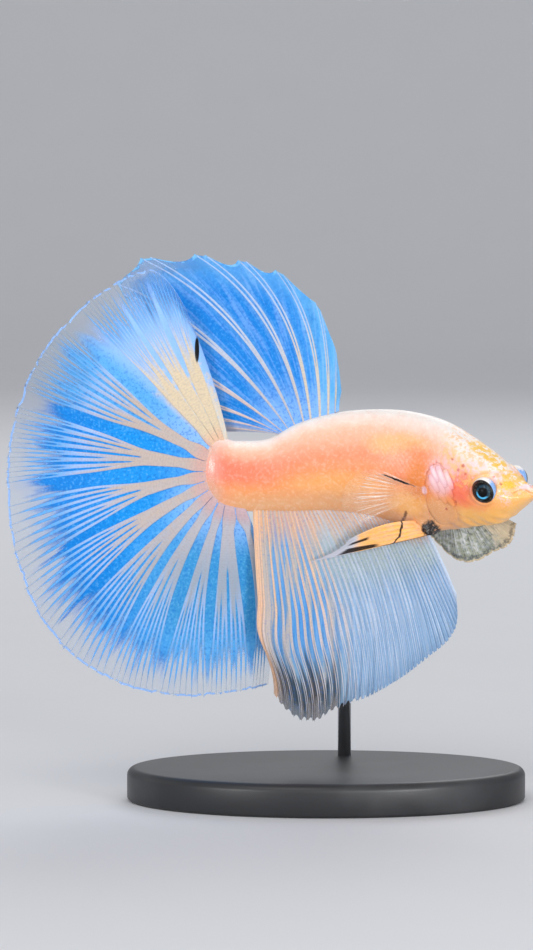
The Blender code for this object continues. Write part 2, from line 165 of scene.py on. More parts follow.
# Fin rays: place of the root and of the tip's fan across the fin, half of that fan's spread, branches at the
# tip, and the stem's width across the fin.
CAUDAL_RAYS = np.array([
    (0.065, 0.026, 0.022, 8, 0.046),
    (0.115, 0.078, 0.024, 8, 0.046),
    (0.165, 0.134, 0.028, 8, 0.046),
    (0.290, 0.252, 0.058, 16, 0.052),
    (0.393, 0.393, 0.061, 16, 0.054),
    (0.490, 0.532, 0.054, 8, 0.048),
    (0.583, 0.633, 0.045, 8, 0.050),
    (0.672, 0.728, 0.042, 8, 0.050),
    (0.750, 0.806, 0.034, 8, 0.046),
    (0.843, 0.878, 0.034, 8, 0.046),
    (0.915, 0.942, 0.028, 8, 0.036),
    (0.972, 0.984, 0.010, 4, 0.016),
])
DORSAL_RAYS = np.array([
    (0.030, 0.022, 0.009, 2, 0.010),
    (0.085, 0.070, 0.011, 2, 0.012),
    (0.145, 0.130, 0.013, 2, 0.014),
    (0.225, 0.200, 0.015, 2, 0.020),
    (0.345, 0.300, 0.016, 2, 0.022),
    (0.465, 0.410, 0.017, 2, 0.024),
    (0.595, 0.515, 0.019, 2, 0.027),
    (0.690, 0.600, 0.019, 2, 0.030),
    (0.800, 0.700, 0.021, 2, 0.031),
    (0.890, 0.835, 0.020, 2, 0.026),
    (0.960, 0.940, 0.012, 2, 0.012),
])


# ---------------------------------------------------------------- shapes by formula


def through(knots, values, at):
    """A smooth curve through values at knots: each stretch is a cubic with slopes from its neighbours."""
    knots, values, at = (np.asarray(a, float) for a in (knots, values, at))
    slopes = np.gradient(values, knots)
    i = np.clip(np.searchsorted(knots, at) - 1, 0, len(knots) - 2)
    step = knots[i + 1] - knots[i]
    t = np.clip((at - knots[i]) / step, 0, 1)
    return (
        (2 * t**3 - 3 * t**2 + 1) * values[i]
        + (t**3 - 2 * t**2 + t) * step * slopes[i]
        + (3 * t**2 - 2 * t**3) * values[i + 1]
        + (t**3 - t**2) * step * slopes[i + 1]
    )


def back(s):
    return through(BODY[:, 0], BODY[:, 1], s)


def belly(s):
    return through(BODY[:, 0], BODY[:, 2], s)


def half_width(s):
    return through(BODY[:, 0], BODY[:, 3], s)


def ramp(x, start, end):
    """0 before start, 1 after end, and a smooth rise between."""
    t = np.clip((np.asarray(x, float) - start) / (end - start), 0, 1)
    return t * t * (3 - 2 * t)


def scatter(number):
    """A number from 0 to 1 that looks random: the fraction of a large multiple of a sine."""
    return np.modf(np.abs(np.sin(np.asarray(number, float) * 12.9898 + 4.1414) * 4375.85))[0]


def bent(s, y, z):
    """Points of the straight fish on the curved spine, in metres: straight tail, arc and straight head."""
    s, y, z = np.broadcast_arrays(*(np.asarray(a, float) for a in (s, y, z)))
    yaw = np.clip((s - TURN_START) / TURN_RADIUS, 0, HEAD_YAW)
    past = np.maximum(0, s - TURN_START - TURN_RADIUS * HEAD_YAW)
    roll = HEAD_ROLL * yaw / HEAD_YAW
    height = z - ROLL_AXIS_HEIGHT
    side = y * np.cos(roll) - height * np.sin(roll)
    up = ROLL_AXIS_HEIGHT + height * np.cos(roll) + y * np.sin(roll)
    x = np.minimum(s, TURN_START) + TURN_RADIUS * np.sin(yaw) + past * math.cos(HEAD_YAW)
    across = -TURN_RADIUS * (1 - np.cos(yaw)) - past * math.sin(HEAD_YAW)
    return (np.stack([x + side * np.sin(yaw), across + side * np.cos(yaw), up], axis=-1) + FISH_PLACE) * MM


def on_body(s, angle, inset=0.0):
    """The body's surface. angle is 0 on the left side and a quarter turn on the back; inset goes inwards."""
    middle = (back(s) + belly(s)) / 2
    half = np.maximum((back(s) - belly(s)) / 2 - inset, 0.02)
    wide = np.maximum(half_width(s) - inset, 0.02)
    squareness = 1 - 0.22 * ramp(s, 30, 40)
    low = np.maximum(0, -np.sin(angle)) ** 1.5
    narrowing = 1 - (0.45 - 0.25 * ramp(s, 20, 34)) * low
    y = wide * narrowing * np.sign(np.cos(angle)) * np.abs(np.cos(angle)) ** squareness
    return s + 0 * y, y, middle + half * np.sin(angle)


# ---------------------------------------------------------------- meshes


def grid_corners(rows, columns, around=False):
    """Row and column of each corner of a grid's quads; around adds a last column that joins the first."""
    i = np.arange(rows - 1)[:, None]
    j = np.arange(columns if around else columns - 1)[None, :]
    corners = [np.broadcast_arrays(i + a, j + b) for a, b in ((0, 0), (0, 1), (1, 1), (1, 0))]
    return np.array(corners).transpose(2, 3, 0, 1).reshape(-1, 4, 2)


def outwards(points, faces):
    """Whether the faces enclose a positive volume, summed over tetrahedra from the origin to each face."""
    total = 0.0
    for face in faces:
        a, b, c, d = (points[face[:, min(k, face.shape[1] - 1)]] for k in range(4))
        total += np.sum(a * np.cross(b, c)) + np.sum(a * np.cross(c, d))
    return total > 0


def make_piece(name, points, faces, finish, marks=None, charts=None, closed=True, thin=False):
    """A mesh from points (metres), lists of quads and triangles, marks at its points and a chart for its
    corners. A thin piece has sharp rims, where its two faces meet."""
    points = np.asarray(points, float)
    if closed and not outwards(points, faces):
        faces = [face[:, ::-1] for face in faces]
        charts = charts and [chart[:, ::-1] for chart in charts]
    mesh = bpy.data.meshes.new(name)
    mesh.from_pydata(points.tolist(), [], [corner for face in faces for corner in face.tolist()])
    for mark, values in (marks or {}).items():
        values = np.asarray(values, np.float32)
        kind, field = ("FLOAT_VECTOR", "vector") if values.ndim > 1 else ("FLOAT", "value")
        mesh.attributes.new(mark, kind, "POINT").data.foreach_set(field, values.ravel())
    if charts:
        flat = np.concatenate([np.asarray(chart, np.float32).reshape(-1) for chart in charts])
        mesh.uv_layers.new(name="OFBake").data.foreach_set("uv", flat)
    mesh.materials.append(finish)
    mesh.shade_smooth()
    if thin:
        mesh.set_sharp_from_angle(angle=math.radians(65))
    piece = bpy.data.objects.new(name, mesh)
    bpy.context.scene.collection.objects.link(piece)
    return piece


def tube_faces(rows, columns):
    """Quads of closed rings and a fan of triangles over each end, whose middle points come last."""
    corners = grid_corners(rows, columns, around=True)
    quads = corners[..., 0] * columns + corners[..., 1] % columns
    j = np.arange(columns)
    k = (j + 1) % columns
    last = (rows - 1) * columns
    first_fan = np.stack([0 * j + rows * columns, k, j], axis=-1)
    last_fan = np.stack([0 * j + rows * columns + 1, last + j, last + k], axis=-1)
    return corners, quads, np.concatenate([first_fan, last_fan])


# ---------------------------------------------------------------- materials


class Wire:
    """A socket that a material's sums start from: arithmetic on it adds Math nodes."""

    def __init__(self, finish, socket):
        self.finish = finish
        self.socket = socket

    def __add__(self, other):
        return self.finish.maths("ADD", self, other)

    __radd__ = __add__

    def __sub__(self, other):
        return self.finish.maths("SUBTRACT", self, other)

    def __rsub__(self, other):
        return self.finish.maths("SUBTRACT", other, self)

    def __mul__(self, other):
        return self.finish.maths("MULTIPLY", self, other)

    __rmul__ = __mul__


class Finish:
    """A material in the making. A colour is a socket, plain numbers or the name of a colour setting."""

    def __init__(self, name):
        self.material = bpy.data.materials.new(name)
        self.material.use_nodes = True
        self.tree = self.material.node_tree
        self.tree.nodes.clear()
        self.tones = colours()

    def node(self, kind, settings=None, sockets=None, output=0):
        """Adds a node: its settings first, then the values or links of its sockets."""
        made = self.tree.nodes.new(kind)
        for setting, value in (settings or {}).items():
            if setting == "stops":
                stops = made.color_ramp.elements
                while len(stops) < len(value):
                    stops.new(1.0)
                for stop, (place, colour) in zip(stops, value):
                    stop.position = place
                    stop.color = self.tones[colour]
            else:
                setattr(made, setting, value)
        for socket, value in (sockets or {}).items():
            if isinstance(value, Wire):
                self.tree.links.new(value.socket, made.inputs[socket])
            else:
                made.inputs[socket].default_value = value
        return Wire(self, made.outputs[output]) if made.outputs else None

    def maths(self, operation, *values):
        return self.node("ShaderNodeMath", {"operation": operation}, dict(enumerate(values)))

    def vector(self, operation, *values, output=0):
        return self.node("ShaderNodeVectorMath", {"operation": operation}, dict(enumerate(values)), output)

    def mark(self, name, output="Fac"):
        return self.node("ShaderNodeAttribute", {"attribute_name": name}, {}, output)

    def parts(self, vector):
        outputs = self.node("ShaderNodeSeparateXYZ", {}, {0: vector}).socket.node.outputs
        return [Wire(self, socket) for socket in outputs]

    def rise(self, value, start, end):
        """0 before start, 1 after end, smooth between; it falls where start is the larger."""
        sockets = {"Value": value, "From Min": start, "From Max": end}
        return self.node("ShaderNodeMapRange", {"interpolation_type": "SMOOTHSTEP"}, sockets)

    def blend(self, under, over, share):
        under, over = (self.tones[c] if isinstance(c, str) else c for c in (under, over))
        return self.node("ShaderNodeMix", {"data_type": "RGBA"}, {0: share, 6: under, 7: over}, 2)

    def layers(self, colour, *coats):
        """Lays coats over a colour, one after another; each is a colour and its share."""
        for over, share in coats:
            colour = self.blend(colour, over, share)
        return colour

    def noise(self, place, scale, detail=2.0, output="Fac"):
        sockets = {"Vector": place, "Scale": scale, "Detail": detail}
        return self.node("ShaderNodeTexNoise", {}, sockets, output)

    def object_place(self):
        return self.node("ShaderNodeTexCoord", {}, {}, "Object")

    def shaken(self, folded, place, scale, reach):
        """A folded place moved about by a noise, for marks with an uneven edge."""
        noise = self.vector("SUBTRACT", self.noise(place, scale, 2.0, "Color"), (0.5, 0.5, 0.5))
        return self.vector("ADD", folded, self.vector("MULTIPLY", noise, (reach, reach, reach)))

    def spot(self, place, middle, size, soft):
        """1 inside an oval ball and 0 outside it, with a soft edge."""
        away = self.vector("SUBTRACT", place, tuple(float(c) for c in middle))
        away = self.vector("MULTIPLY", away, tuple(1 / float(c) for c in size))
        return self.rise(self.vector("LENGTH", away, output=1), 1 + soft, 1 - soft)

    def side_spot(self, place, middle, size, soft=0.5):
        """A spot on both of the body's sides, placed by its middle's s and z; place is a folded one."""
        return self.spot(place, side_point(*middle), (size[0], max(size), size[1]), soft)

    def bump(self, height, distance, strength):
        return self.node("ShaderNodeBump", {}, {"Height": height, "Distance": distance, "Strength": strength})

    def done(self, **sockets):
        """Closes the material with a Principled shader; a socket's name is written with _ for each space."""
        sockets = {socket.replace("_", " "): value for socket, value in sockets.items()}
        shader = self.node("ShaderNodeBsdfPrincipled", {}, sockets)
        self.node("ShaderNodeOutputMaterial", {}, {"Surface": shader})
        return self.material


# ---------------------------------------------------------------- sizes and colours


def tint(name, description, red, green, blue):
    """A colour setting whose default is given in everyday 0 to 255 steps and stored as linear light."""
    default = [((c / 255 + 0.055) / 1.055) ** 2.4 if c > 10 else c / 255 / 12.92 for c in (red, green, blue)]
    return FloatVectorProperty(
        name=name, description=description, subtype="COLOR", size=4, min=0, max=1, default=(*default, 1)
    )


def length(name, description, metres):
    return FloatProperty(
        name=name, description=description, default=metres, min=0, unit="LENGTH", precision=5
    )


class BettaSizes(bpy.types.PropertyGroup):
    """Sizes of the fish's skin, scales and fin rays."""

    coat_depth: length("Coat depth", "How far the skin lies inside the solids, under the scales", 0.00012)
    scale_pitch: length("Scale pitch", "Distance between columns of scales along the body", 0.00045)
    scale_length: length("Scale length", "Length of one scale, its covered front part included", 0.0015)
    scale_rows: IntProperty(
        name="Scale rows", description="Scales in one column of a side", default=21, min=8, max=40
    )
    scale_lift: length("Scale lift", "How far a scale's rear edge stands off the skin", 0.00006)
    bone: length("Ray thickness", "Half of the thickness of a fin ray near its root", 0.00015)
    web: length("Membrane thickness", "Half of the thickness of the membrane between the rays", 0.00003)


class BettaColours(bpy.types.PropertyGroup):
    """Colours of the fish and of its stand."""

    # Also painted as highlight: on the top of the eyeball's rim and in the middles of the gill scales.
    back: tint("Back", "Cream along the ridge of the back", 254, 247, 240)
    shoulder: tint("Shoulder", "Pale pink cream of the upper flank", 247, 190, 160)
    flank: tint("Flank", "Salmon along the middle of the flank", 252, 140, 94)
    side: tint("Lower flank", "Orange below the middle", 242, 154, 88)
    belly: tint("Belly", "Beige peach of the belly", 225, 163, 111)
    # Also darkens the body scales' rims, partly as painted shade.
    rose: tint("Rose", "Salmon red towards the tail and on the cheek", 250, 112, 80)
    orange: tint("Orange", "Orange of the nape, the snout and the chin", 255, 188, 102)
    ember: tint("Ember", "Burnt orange behind the gill cover", 232, 128, 40)
    mauve: tint("Mauve", "Grey lavender of the tail rays", 162, 178, 204)
    amber: tint("Amber", "Strong orange of the flecks on the forehead", 255, 200, 58)
    pearl: tint("Pearl", "Lavender white of the gill cover", 240, 198, 210)
    # Also painted as shade: in the mouth's cleft, the cheek's groove and round the gill scales' rims.
    dots: tint("Dots", "Red brown dots on the head", 190, 70, 45)
    # Also painted as shade: in the belly fin's deep folds and along the crease of the pelvic fins.
    soot: tint("Soot", "Brown black marks at the pelvic fins", 24, 13, 9)
    pupil: tint("Pupil", "Black of the pupil", 5, 5, 8)
    iris: tint("Iris", "Brown black of the iris", 14, 10, 12)
    ring: tint("Eye ring", "Bright blue ring round the pupil", 90, 190, 240)
    # The eyeball's rim: partly its own pale blue, partly a painted reflection of the cornea.
    eye_rim: tint("Eye rim", "Pale blue rim of the eyeball", 176, 200, 240)
    # Also mixed into the eyeball's rim as part of its painted reflection.
    azure: tint("Azure", "Vivid blue of the membranes", 10, 142, 227)
    teal: tint("Teal", "Greener blue low in the tail fin", 34, 132, 188)
    sky: tint("Sky", "Pale blue of the finer membranes", 112, 180, 229)
    mist: tint("Mist", "Grey blue of the belly fin", 116, 148, 174)
    lilac: tint("Lilac", "Pale lavender of the fine ray tips", 146, 186, 242)
    cream: tint("Ray cream", "Cream of the upper fin rays", 216, 198, 166)
    peach: tint("Ray peach", "Peach of the strongest rays", 246, 190, 142)
    tan: tint("Ray tan", "Muted tan of the tail rays near the body", 190, 173, 162)
    deep: tint("Deep blue", "Darker flecks of the blue membranes", 6, 104, 195)
    frost: tint("Frost", "White blue of the belly fin's rays", 187, 202, 224)
    sage: tint("Sage", "Green grey of the upper belly fin", 172, 184, 178)
    clear: tint("Clear edge", "Grey of the clear margins", 170, 180, 190)
    smoke: tint("Smoke", "Grey green of the left pectoral fin", 166, 172, 152)
    base: tint("Stand base", "Satin black of the stand's base", 30, 31, 34)
    steel: tint("Stand rod", "Brushed steel of the rod", 190, 192, 196)
    paper: tint("Backdrop", "Pale grey of the floor and backdrop", 230, 231, 234)


def sizes():
    return bpy.context.scene.betta_sizes


def colours():
    """Every colour setting by its name, as plain numbers."""
    group = bpy.context.scene.betta_colours
    return {name: tuple(getattr(group, name)) for name in BettaColours.__annotations__}


# ---------------------------------------------------------------- skin and scales


def height_share(s, z):
    """0 at the belly's outline and 1 at the back's."""
    return (z - belly(s)) / np.maximum(back(s) - belly(s), 0.2)


def chart_of(s, angle):
    """The skin's own unwrap: the place along the spine, and the angle round the body from the belly."""
    share = np.stack([(s + 2) / (STANDARD_LENGTH + 2.2), (angle + math.pi / 2) / TURN], axis=-1)
    return 0.02 + 0.96 * share


def side_point(s, z):
    """The point of the left side at a place along the spine and a height."""
    middle, half = (back(s) + belly(s)) / 2, (back(s) - belly(s)) / 2
    return np.stack(on_body(s, np.arcsin(np.clip((z - middle) / half, -1, 1))), axis=-1)


def near_line(points, line):
    """Distance from points to a broken line: the least over its stretches."""
    best = np.full(points.shape[:-1], 1e9)
    for start, end in zip(line[:-1], line[1:]):
        way = end - start
        share = np.clip((points - start) @ way / (way @ way), 0, 1)
        best = np.minimum(best, np.linalg.norm(points - start - share[..., None] * way, axis=-1))
    return best


def hump(distance, width):
    return np.exp(-((distance / width) ** 2))


def skin_relief(s, angle, y, z):
    """How far the skin stands out, in millimetres: bell curves and steps of the distance to each feature."""
    points = np.stack([s, np.abs(y), z], axis=-1)
    head = ramp(s, 32, 36)
    side_angle = np.where(np.cos(angle) >= 0, angle, math.pi - angle)
    side_angle = (side_angle + math.pi) % TURN - math.pi
    cleft = near_line(points, side_point(*MOUTH.T))
    above = z - np.interp(s, MOUTH[::-1, 0], MOUTH[::-1, 1])
    lips = 0.16 * hump(cleft - 0.32, 0.20) * ramp(s, 48.8, 50.2)
    relief = lips * np.where(above > 0, 0.8, 1.2) - 0.5 * hump(cleft, 0.12)
    eye = np.hypot(s - EYE_PLACE, z - EYE_HEIGHT)
    relief = relief + 0.24 * hump(eye - EYE_RADIUS - 0.12, 0.30) - 0.3 * (1 - ramp(eye, 1.3, 1.9))
    gill = np.hypot((s - GILL_PLACE) / GILL_REACH, (side_angle - GILL_MIDDLE) / GILL_SPREAD)
    rear = ramp(GILL_PLACE - s + 0.8, -1.0, 2.0)
    flap = 0.26 * (1 - ramp(gill, 0.93, 1.0)) - 0.22 * hump(gill - 1.04, 0.05)
    relief = relief + head * flap * (0.25 + 0.75 * rear)
    relief = relief - 0.16 * hump(near_line(points, side_point(*CHEEK.T)), 0.16)
    front_nostril = np.linalg.norm(points - side_point(48.9, -2.15), axis=-1)
    relief = relief + 0.10 * hump(front_nostril - 0.30, 0.12) - 0.34 * hump(front_nostril, 0.17)
    rear_nostril = np.linalg.norm(points - side_point(47.2, -1.2), axis=-1)
    relief = relief - 0.18 * hump(rear_nostril, 0.15)
    throat = ramp(-np.sin(angle), 0.55, 0.85) * ramp(s, 35, 37.5) * (1 - ramp(s, 46, 48.5))
    relief = relief + 0.07 * throat * np.sin(3.1 * (s + 0.55 * np.abs(y)))
    keel = hump(np.abs(y), 0.35) * ramp(-np.sin(angle), 0.9, 0.98) * ramp(s, 40, 44) * (1 - ramp(s, 48, 50))
    line = hump(z - (1.0 + 0.06 * (s - 20)), 0.25) * ramp(s, 6, 12) * (1 - ramp(s, 31, 33))
    fin_base = hump(np.linalg.norm((points - (32.9, 1.7, -9.3)) / (1.6, 1.0, 1.2), axis=-1), 1.0)
    rough = 0.35 * np.sin(6.1 * s + 2.0 * z) * np.sin(5.3 * z - 1.4 * s) * fin_base
    return relief - 0.12 * keel - 0.04 * line + 1.25 * fin_base + rough * fin_base


def skin_places(inset):
    """Rows along the spine, closest together at the snout, and columns at even angles round the body."""
    trunk = np.linspace(BODY[0, 0], HEAD_START, TRUNK_ROWS + 1)[:-1]
    head = HEAD_START + (STANDARD_LENGTH - HEAD_START) * (1 - (1 - np.linspace(0, 1, HEAD_ROWS)) ** 1.35)
    s = np.concatenate([trunk, head])[:, None]
    angle = (np.arange(SKIN_COLUMNS) / SKIN_COLUMNS * TURN - math.pi / 2)[None, :]
    return *np.broadcast_arrays(s, angle), on_body(s, angle, inset)


def fish_skin(finish):
    """The whole skin: closed rings round the body, moved along their normals by skin_relief and then bent."""
    s, angle, shape = skin_places(sizes().coat_depth / MM)
    shape = np.stack(shape, axis=-1)
    along = np.gradient(shape, axis=0)
    around = (np.roll(shape, -1, axis=1) - np.roll(shape, 1, axis=1)) / 2
    normal = np.cross(around, along)
    normal = normal / np.maximum(np.linalg.norm(normal, axis=-1, keepdims=True), 1e-9)
    centre = shape.mean(axis=1, keepdims=True)
    normal = normal * np.where(np.sum(normal * (shape - centre), axis=-1, keepdims=True) < 0, -1, 1)
    fade = ramp(s, -1.5, 3) * (1 - ramp(s, 52.0, STANDARD_LENGTH))
    shape = shape + normal * (skin_relief(s, angle, shape[..., 1], shape[..., 2]) * fade)[..., None]
    rows, columns = s.shape
    flat = np.concatenate([shape.reshape(-1, 3), [shape[0].mean(0)], [shape[-1].mean(0)]])
    corners, quads, ends = tube_faces(rows, columns)
    turn = corners[..., 1] / columns * TURN - math.pi / 2
    ends_chart = np.zeros((len(ends), 3, 2)) + 0.01
    charts = [chart_of(s[corners[..., 0], 0], turn), ends_chart]
    mirrored = flat * (1, 0, 1) + np.abs(flat) * (0, 1, 0)
    # Painted shade: the mark cleft darkens the mouth's cleft and the groove in front of the gill cover.
    cheek = 0.45 * hump(near_line(mirrored, side_point(*CHEEK.T)), 0.10)
    marks = {
        "place": flat,
        "height": height_share(flat[:, 0], flat[:, 2]),
        "cleft": np.maximum(0.70 * hump(near_line(mirrored, side_point(*MOUTH.T)), 0.12), cheek),
    }
    return make_piece("fish_skin", bent(*flat.T), [quads, ends], finish, marks, charts)


def even_angles(s, share):
    """Angles on the left side at shares of the way from the belly to the back, measured on the surface."""
    fine = np.linspace(-math.pi / 2, math.pi / 2, 181)
    found = np.empty(np.broadcast(s, share).shape)
    for i, place in enumerate(s[:, 0]):
        _, y, z = on_body(place, fine)
        way = np.concatenate([[0], np.cumsum(np.hypot(np.diff(y), np.diff(z)))])
        found[i] = np.interp(share[i] * way[-1], way, fine)
    return found


def scale_shape(s, angle, long, wide, lift, side, inset, tilt=0.0):
    """Scales at places s and angle: each is a pillow of two sheets of quads joined at the rim, whose outline
    is a rounded tongue turned by tilt and whose rear edge is lifted. Returns points, quads, chart, marks."""
    p, q = np.meshgrid(*(np.linspace(-1, 1, count) for count in SCALE_GRID), indexing="ij")
    taper = np.sqrt(1 - 0.80 * np.maximum(0, p) ** 2.2) * (1 - 0.25 * np.maximum(0, -p) ** 2)
    rim = np.maximum(np.abs(p) ** 3, np.abs(q) ** 3)
    border = (np.abs(p) > 0.999) | (np.abs(q) > 0.999)
    dome = (1 - q**2) * (1 - np.maximum(0, p) ** 2)
    upper = -0.35 + 0.75 * ramp(p, -1, 0.6) + 0.45 * dome
    lower = -0.55 + 0.75 * ramp(p, -1, 0.6)
    level = np.where(border, (upper + lower) / 2 + 0.1, upper)
    inner = ~border
    p_all = np.concatenate([p.ravel(), p[inner]])
    q_all = np.concatenate([(q * taper).ravel(), (q * taper)[inner]])
    level_all = np.concatenate([level.ravel(), lower[inner]])
    rim_all = np.concatenate([rim.ravel(), rim[inner]])
    back_way = p_all * long[:, None] / 2
    up_way = q_all * wide[:, None] / 2
    place = s[:, None] - back_way * math.cos(tilt) - up_way * math.sin(tilt)
    swing = (up_way * math.cos(tilt) - back_way * math.sin(tilt)) / on_span(s, angle)[:, None]
    turn = angle[:, None] + swing
    out = inset - (level_all + 0.35) * lift[:, None] / 0.9
    shape = np.stack(on_body(place, turn if side > 0 else math.pi - turn, out), axis=-1)
    numbers = np.arange(p.size).reshape(p.shape)
    under = numbers.copy()
    under[inner] = p.size + np.arange(inner.sum())
    i, j = grid_corners(*p.shape).transpose(2, 0, 1)
    local = np.stack([p[i, j], q[i, j]], axis=-1)
    step = (np.arange(len(s)) * len(p_all))[:, None, None]
    quads = np.concatenate([numbers[i, j][None] + step, under[i, j][None, :, ::-1] + step], axis=1)
    quads = quads.reshape(-1, 4)
    root = chart_of(s, angle if side > 0 else math.pi - angle)[:, None, None, :]
    patch, shift = PATCH_HALF * local[None], (PATCH_SHIFT, 0)
    chart = np.concatenate([root + patch - shift, root + patch[:, :, ::-1] + shift], axis=1).reshape(-1, 4, 2)
    marks = {
        "place": shape.reshape(-1, 3),
        "height": height_share(shape[..., 0], shape[..., 2]).ravel(),
        "rim": np.broadcast_to(rim_all, place.shape).ravel(),
        "tone": np.broadcast_to(scatter(np.arange(len(s)) + 0.5 * side)[:, None], place.shape).ravel(),
    }
    return shape.reshape(-1, 3), quads, chart, marks


def on_span(s, angle):
    """Millimetres of surface for each radian round the body."""
    _, y0, z0 = on_body(s, angle - 0.02)
    _, y1, z1 = on_body(s, angle + 0.02)
    return np.maximum(np.hypot(y1 - y0, z1 - z0) / 0.04, 1.0)


def body_scales(side, name, finish):
    """Scales in staggered columns over one side, but for snout, eye, gill cover, throat and fin bases."""
    size = sizes()
    pitch = size.scale_pitch / MM
    rows = size.scale_rows
    column = np.arange(int((44.5 - 0.6) / pitch))
    s = (0.6 + pitch * column)[:, None]
    share = (np.arange(rows)[None, :] + 0.25 + 0.5 * (column % 2)[:, None]) / rows
    angle = even_angles(s, share)
    s = np.broadcast_to(s, angle.shape)
    _, _, z = on_body(s, angle)
    girth = on_span(s, angle) * np.gradient(angle, axis=1)
    s = s + 0.12 * (scatter(s * 3.1 + angle * 7.7) - 0.5)
    gill = np.hypot((s - GILL_PLACE) / (GILL_REACH + 0.5), (angle - GILL_MIDDLE) / (GILL_SPREAD + 0.08))
    eye = np.hypot(s - EYE_PLACE, z - EYE_HEIGHT)
    throat = (s > 33.4) & (height_share(s, z) < 0.16)
    fin_base = np.hypot((s - 32.9) / 2.4, (z + 9.6) / 2.2) < 1
    ragged = 1.6 * (scatter(s * 1.3 + angle * 4.9) - 0.5)
    face = (s < 41.0 + ragged) | (z > 0.35 * (EYE_PLACE - s) + 1.2)
    keep = (gill > 1) & (eye > 2.9) & face & ~throat & ~fin_base
    keep = keep & (np.hypot((s + 0.8) / 3.0, (z + 1.3) / 6.5) > 0.55)
    s, angle, girth = s[keep], angle[keep], girth[keep]
    small = 1 - 0.25 * ramp(s, 38, 44)
    long = size.scale_length / MM * small
    lift = size.scale_lift / MM * (0.55 + 0.45 * ramp(s, 2, 8)) * small
    wide = np.clip(1.30 * girth, 0.3, 1.4)
    points, quads, chart, marks = scale_shape(s, angle, long, wide, lift, side, size.coat_depth / MM)
    return make_piece(name, bent(*points.T), [quads], finish, marks, [chart], thin=True)


def gill_scales(side, name, finish):
    """Large leaf-shaped scales on the gill cover, in staggered rows that slant forwards and down."""
    way, beside = np.array([0.57, -0.82]), np.array([0.82, 0.57])
    column, row = np.meshgrid(np.arange(-3, 4), np.arange(-2, 3), indexing="ij")
    along = 2.15 * (row + 0.5 * (column % 2))
    place = LEAF_MIDDLE + 0.98 * column[..., None] * beside + along[..., None] * way
    place = place[np.linalg.norm((place - LEAF_MIDDLE) / LEAF_REACH, axis=-1) < 0.92]
    s, z = place.T
    angle = np.arcsin(np.clip((z - (back(s) + belly(s)) / 2) / ((back(s) - belly(s)) / 2), -1, 1))
    uneven = 0.85 + 0.3 * scatter(s * 1.7 + angle * 5.1)
    inset = sizes().coat_depth / MM - 0.22
    shape = scale_shape(s, angle, 2.8 * uneven, 1.25 * uneven, 0.055 + 0 * s, side, inset, math.radians(125))
    points, quads, chart, marks = shape
    return make_piece(name, bent(*points.T), [quads], finish, marks, [chart], thin=True)


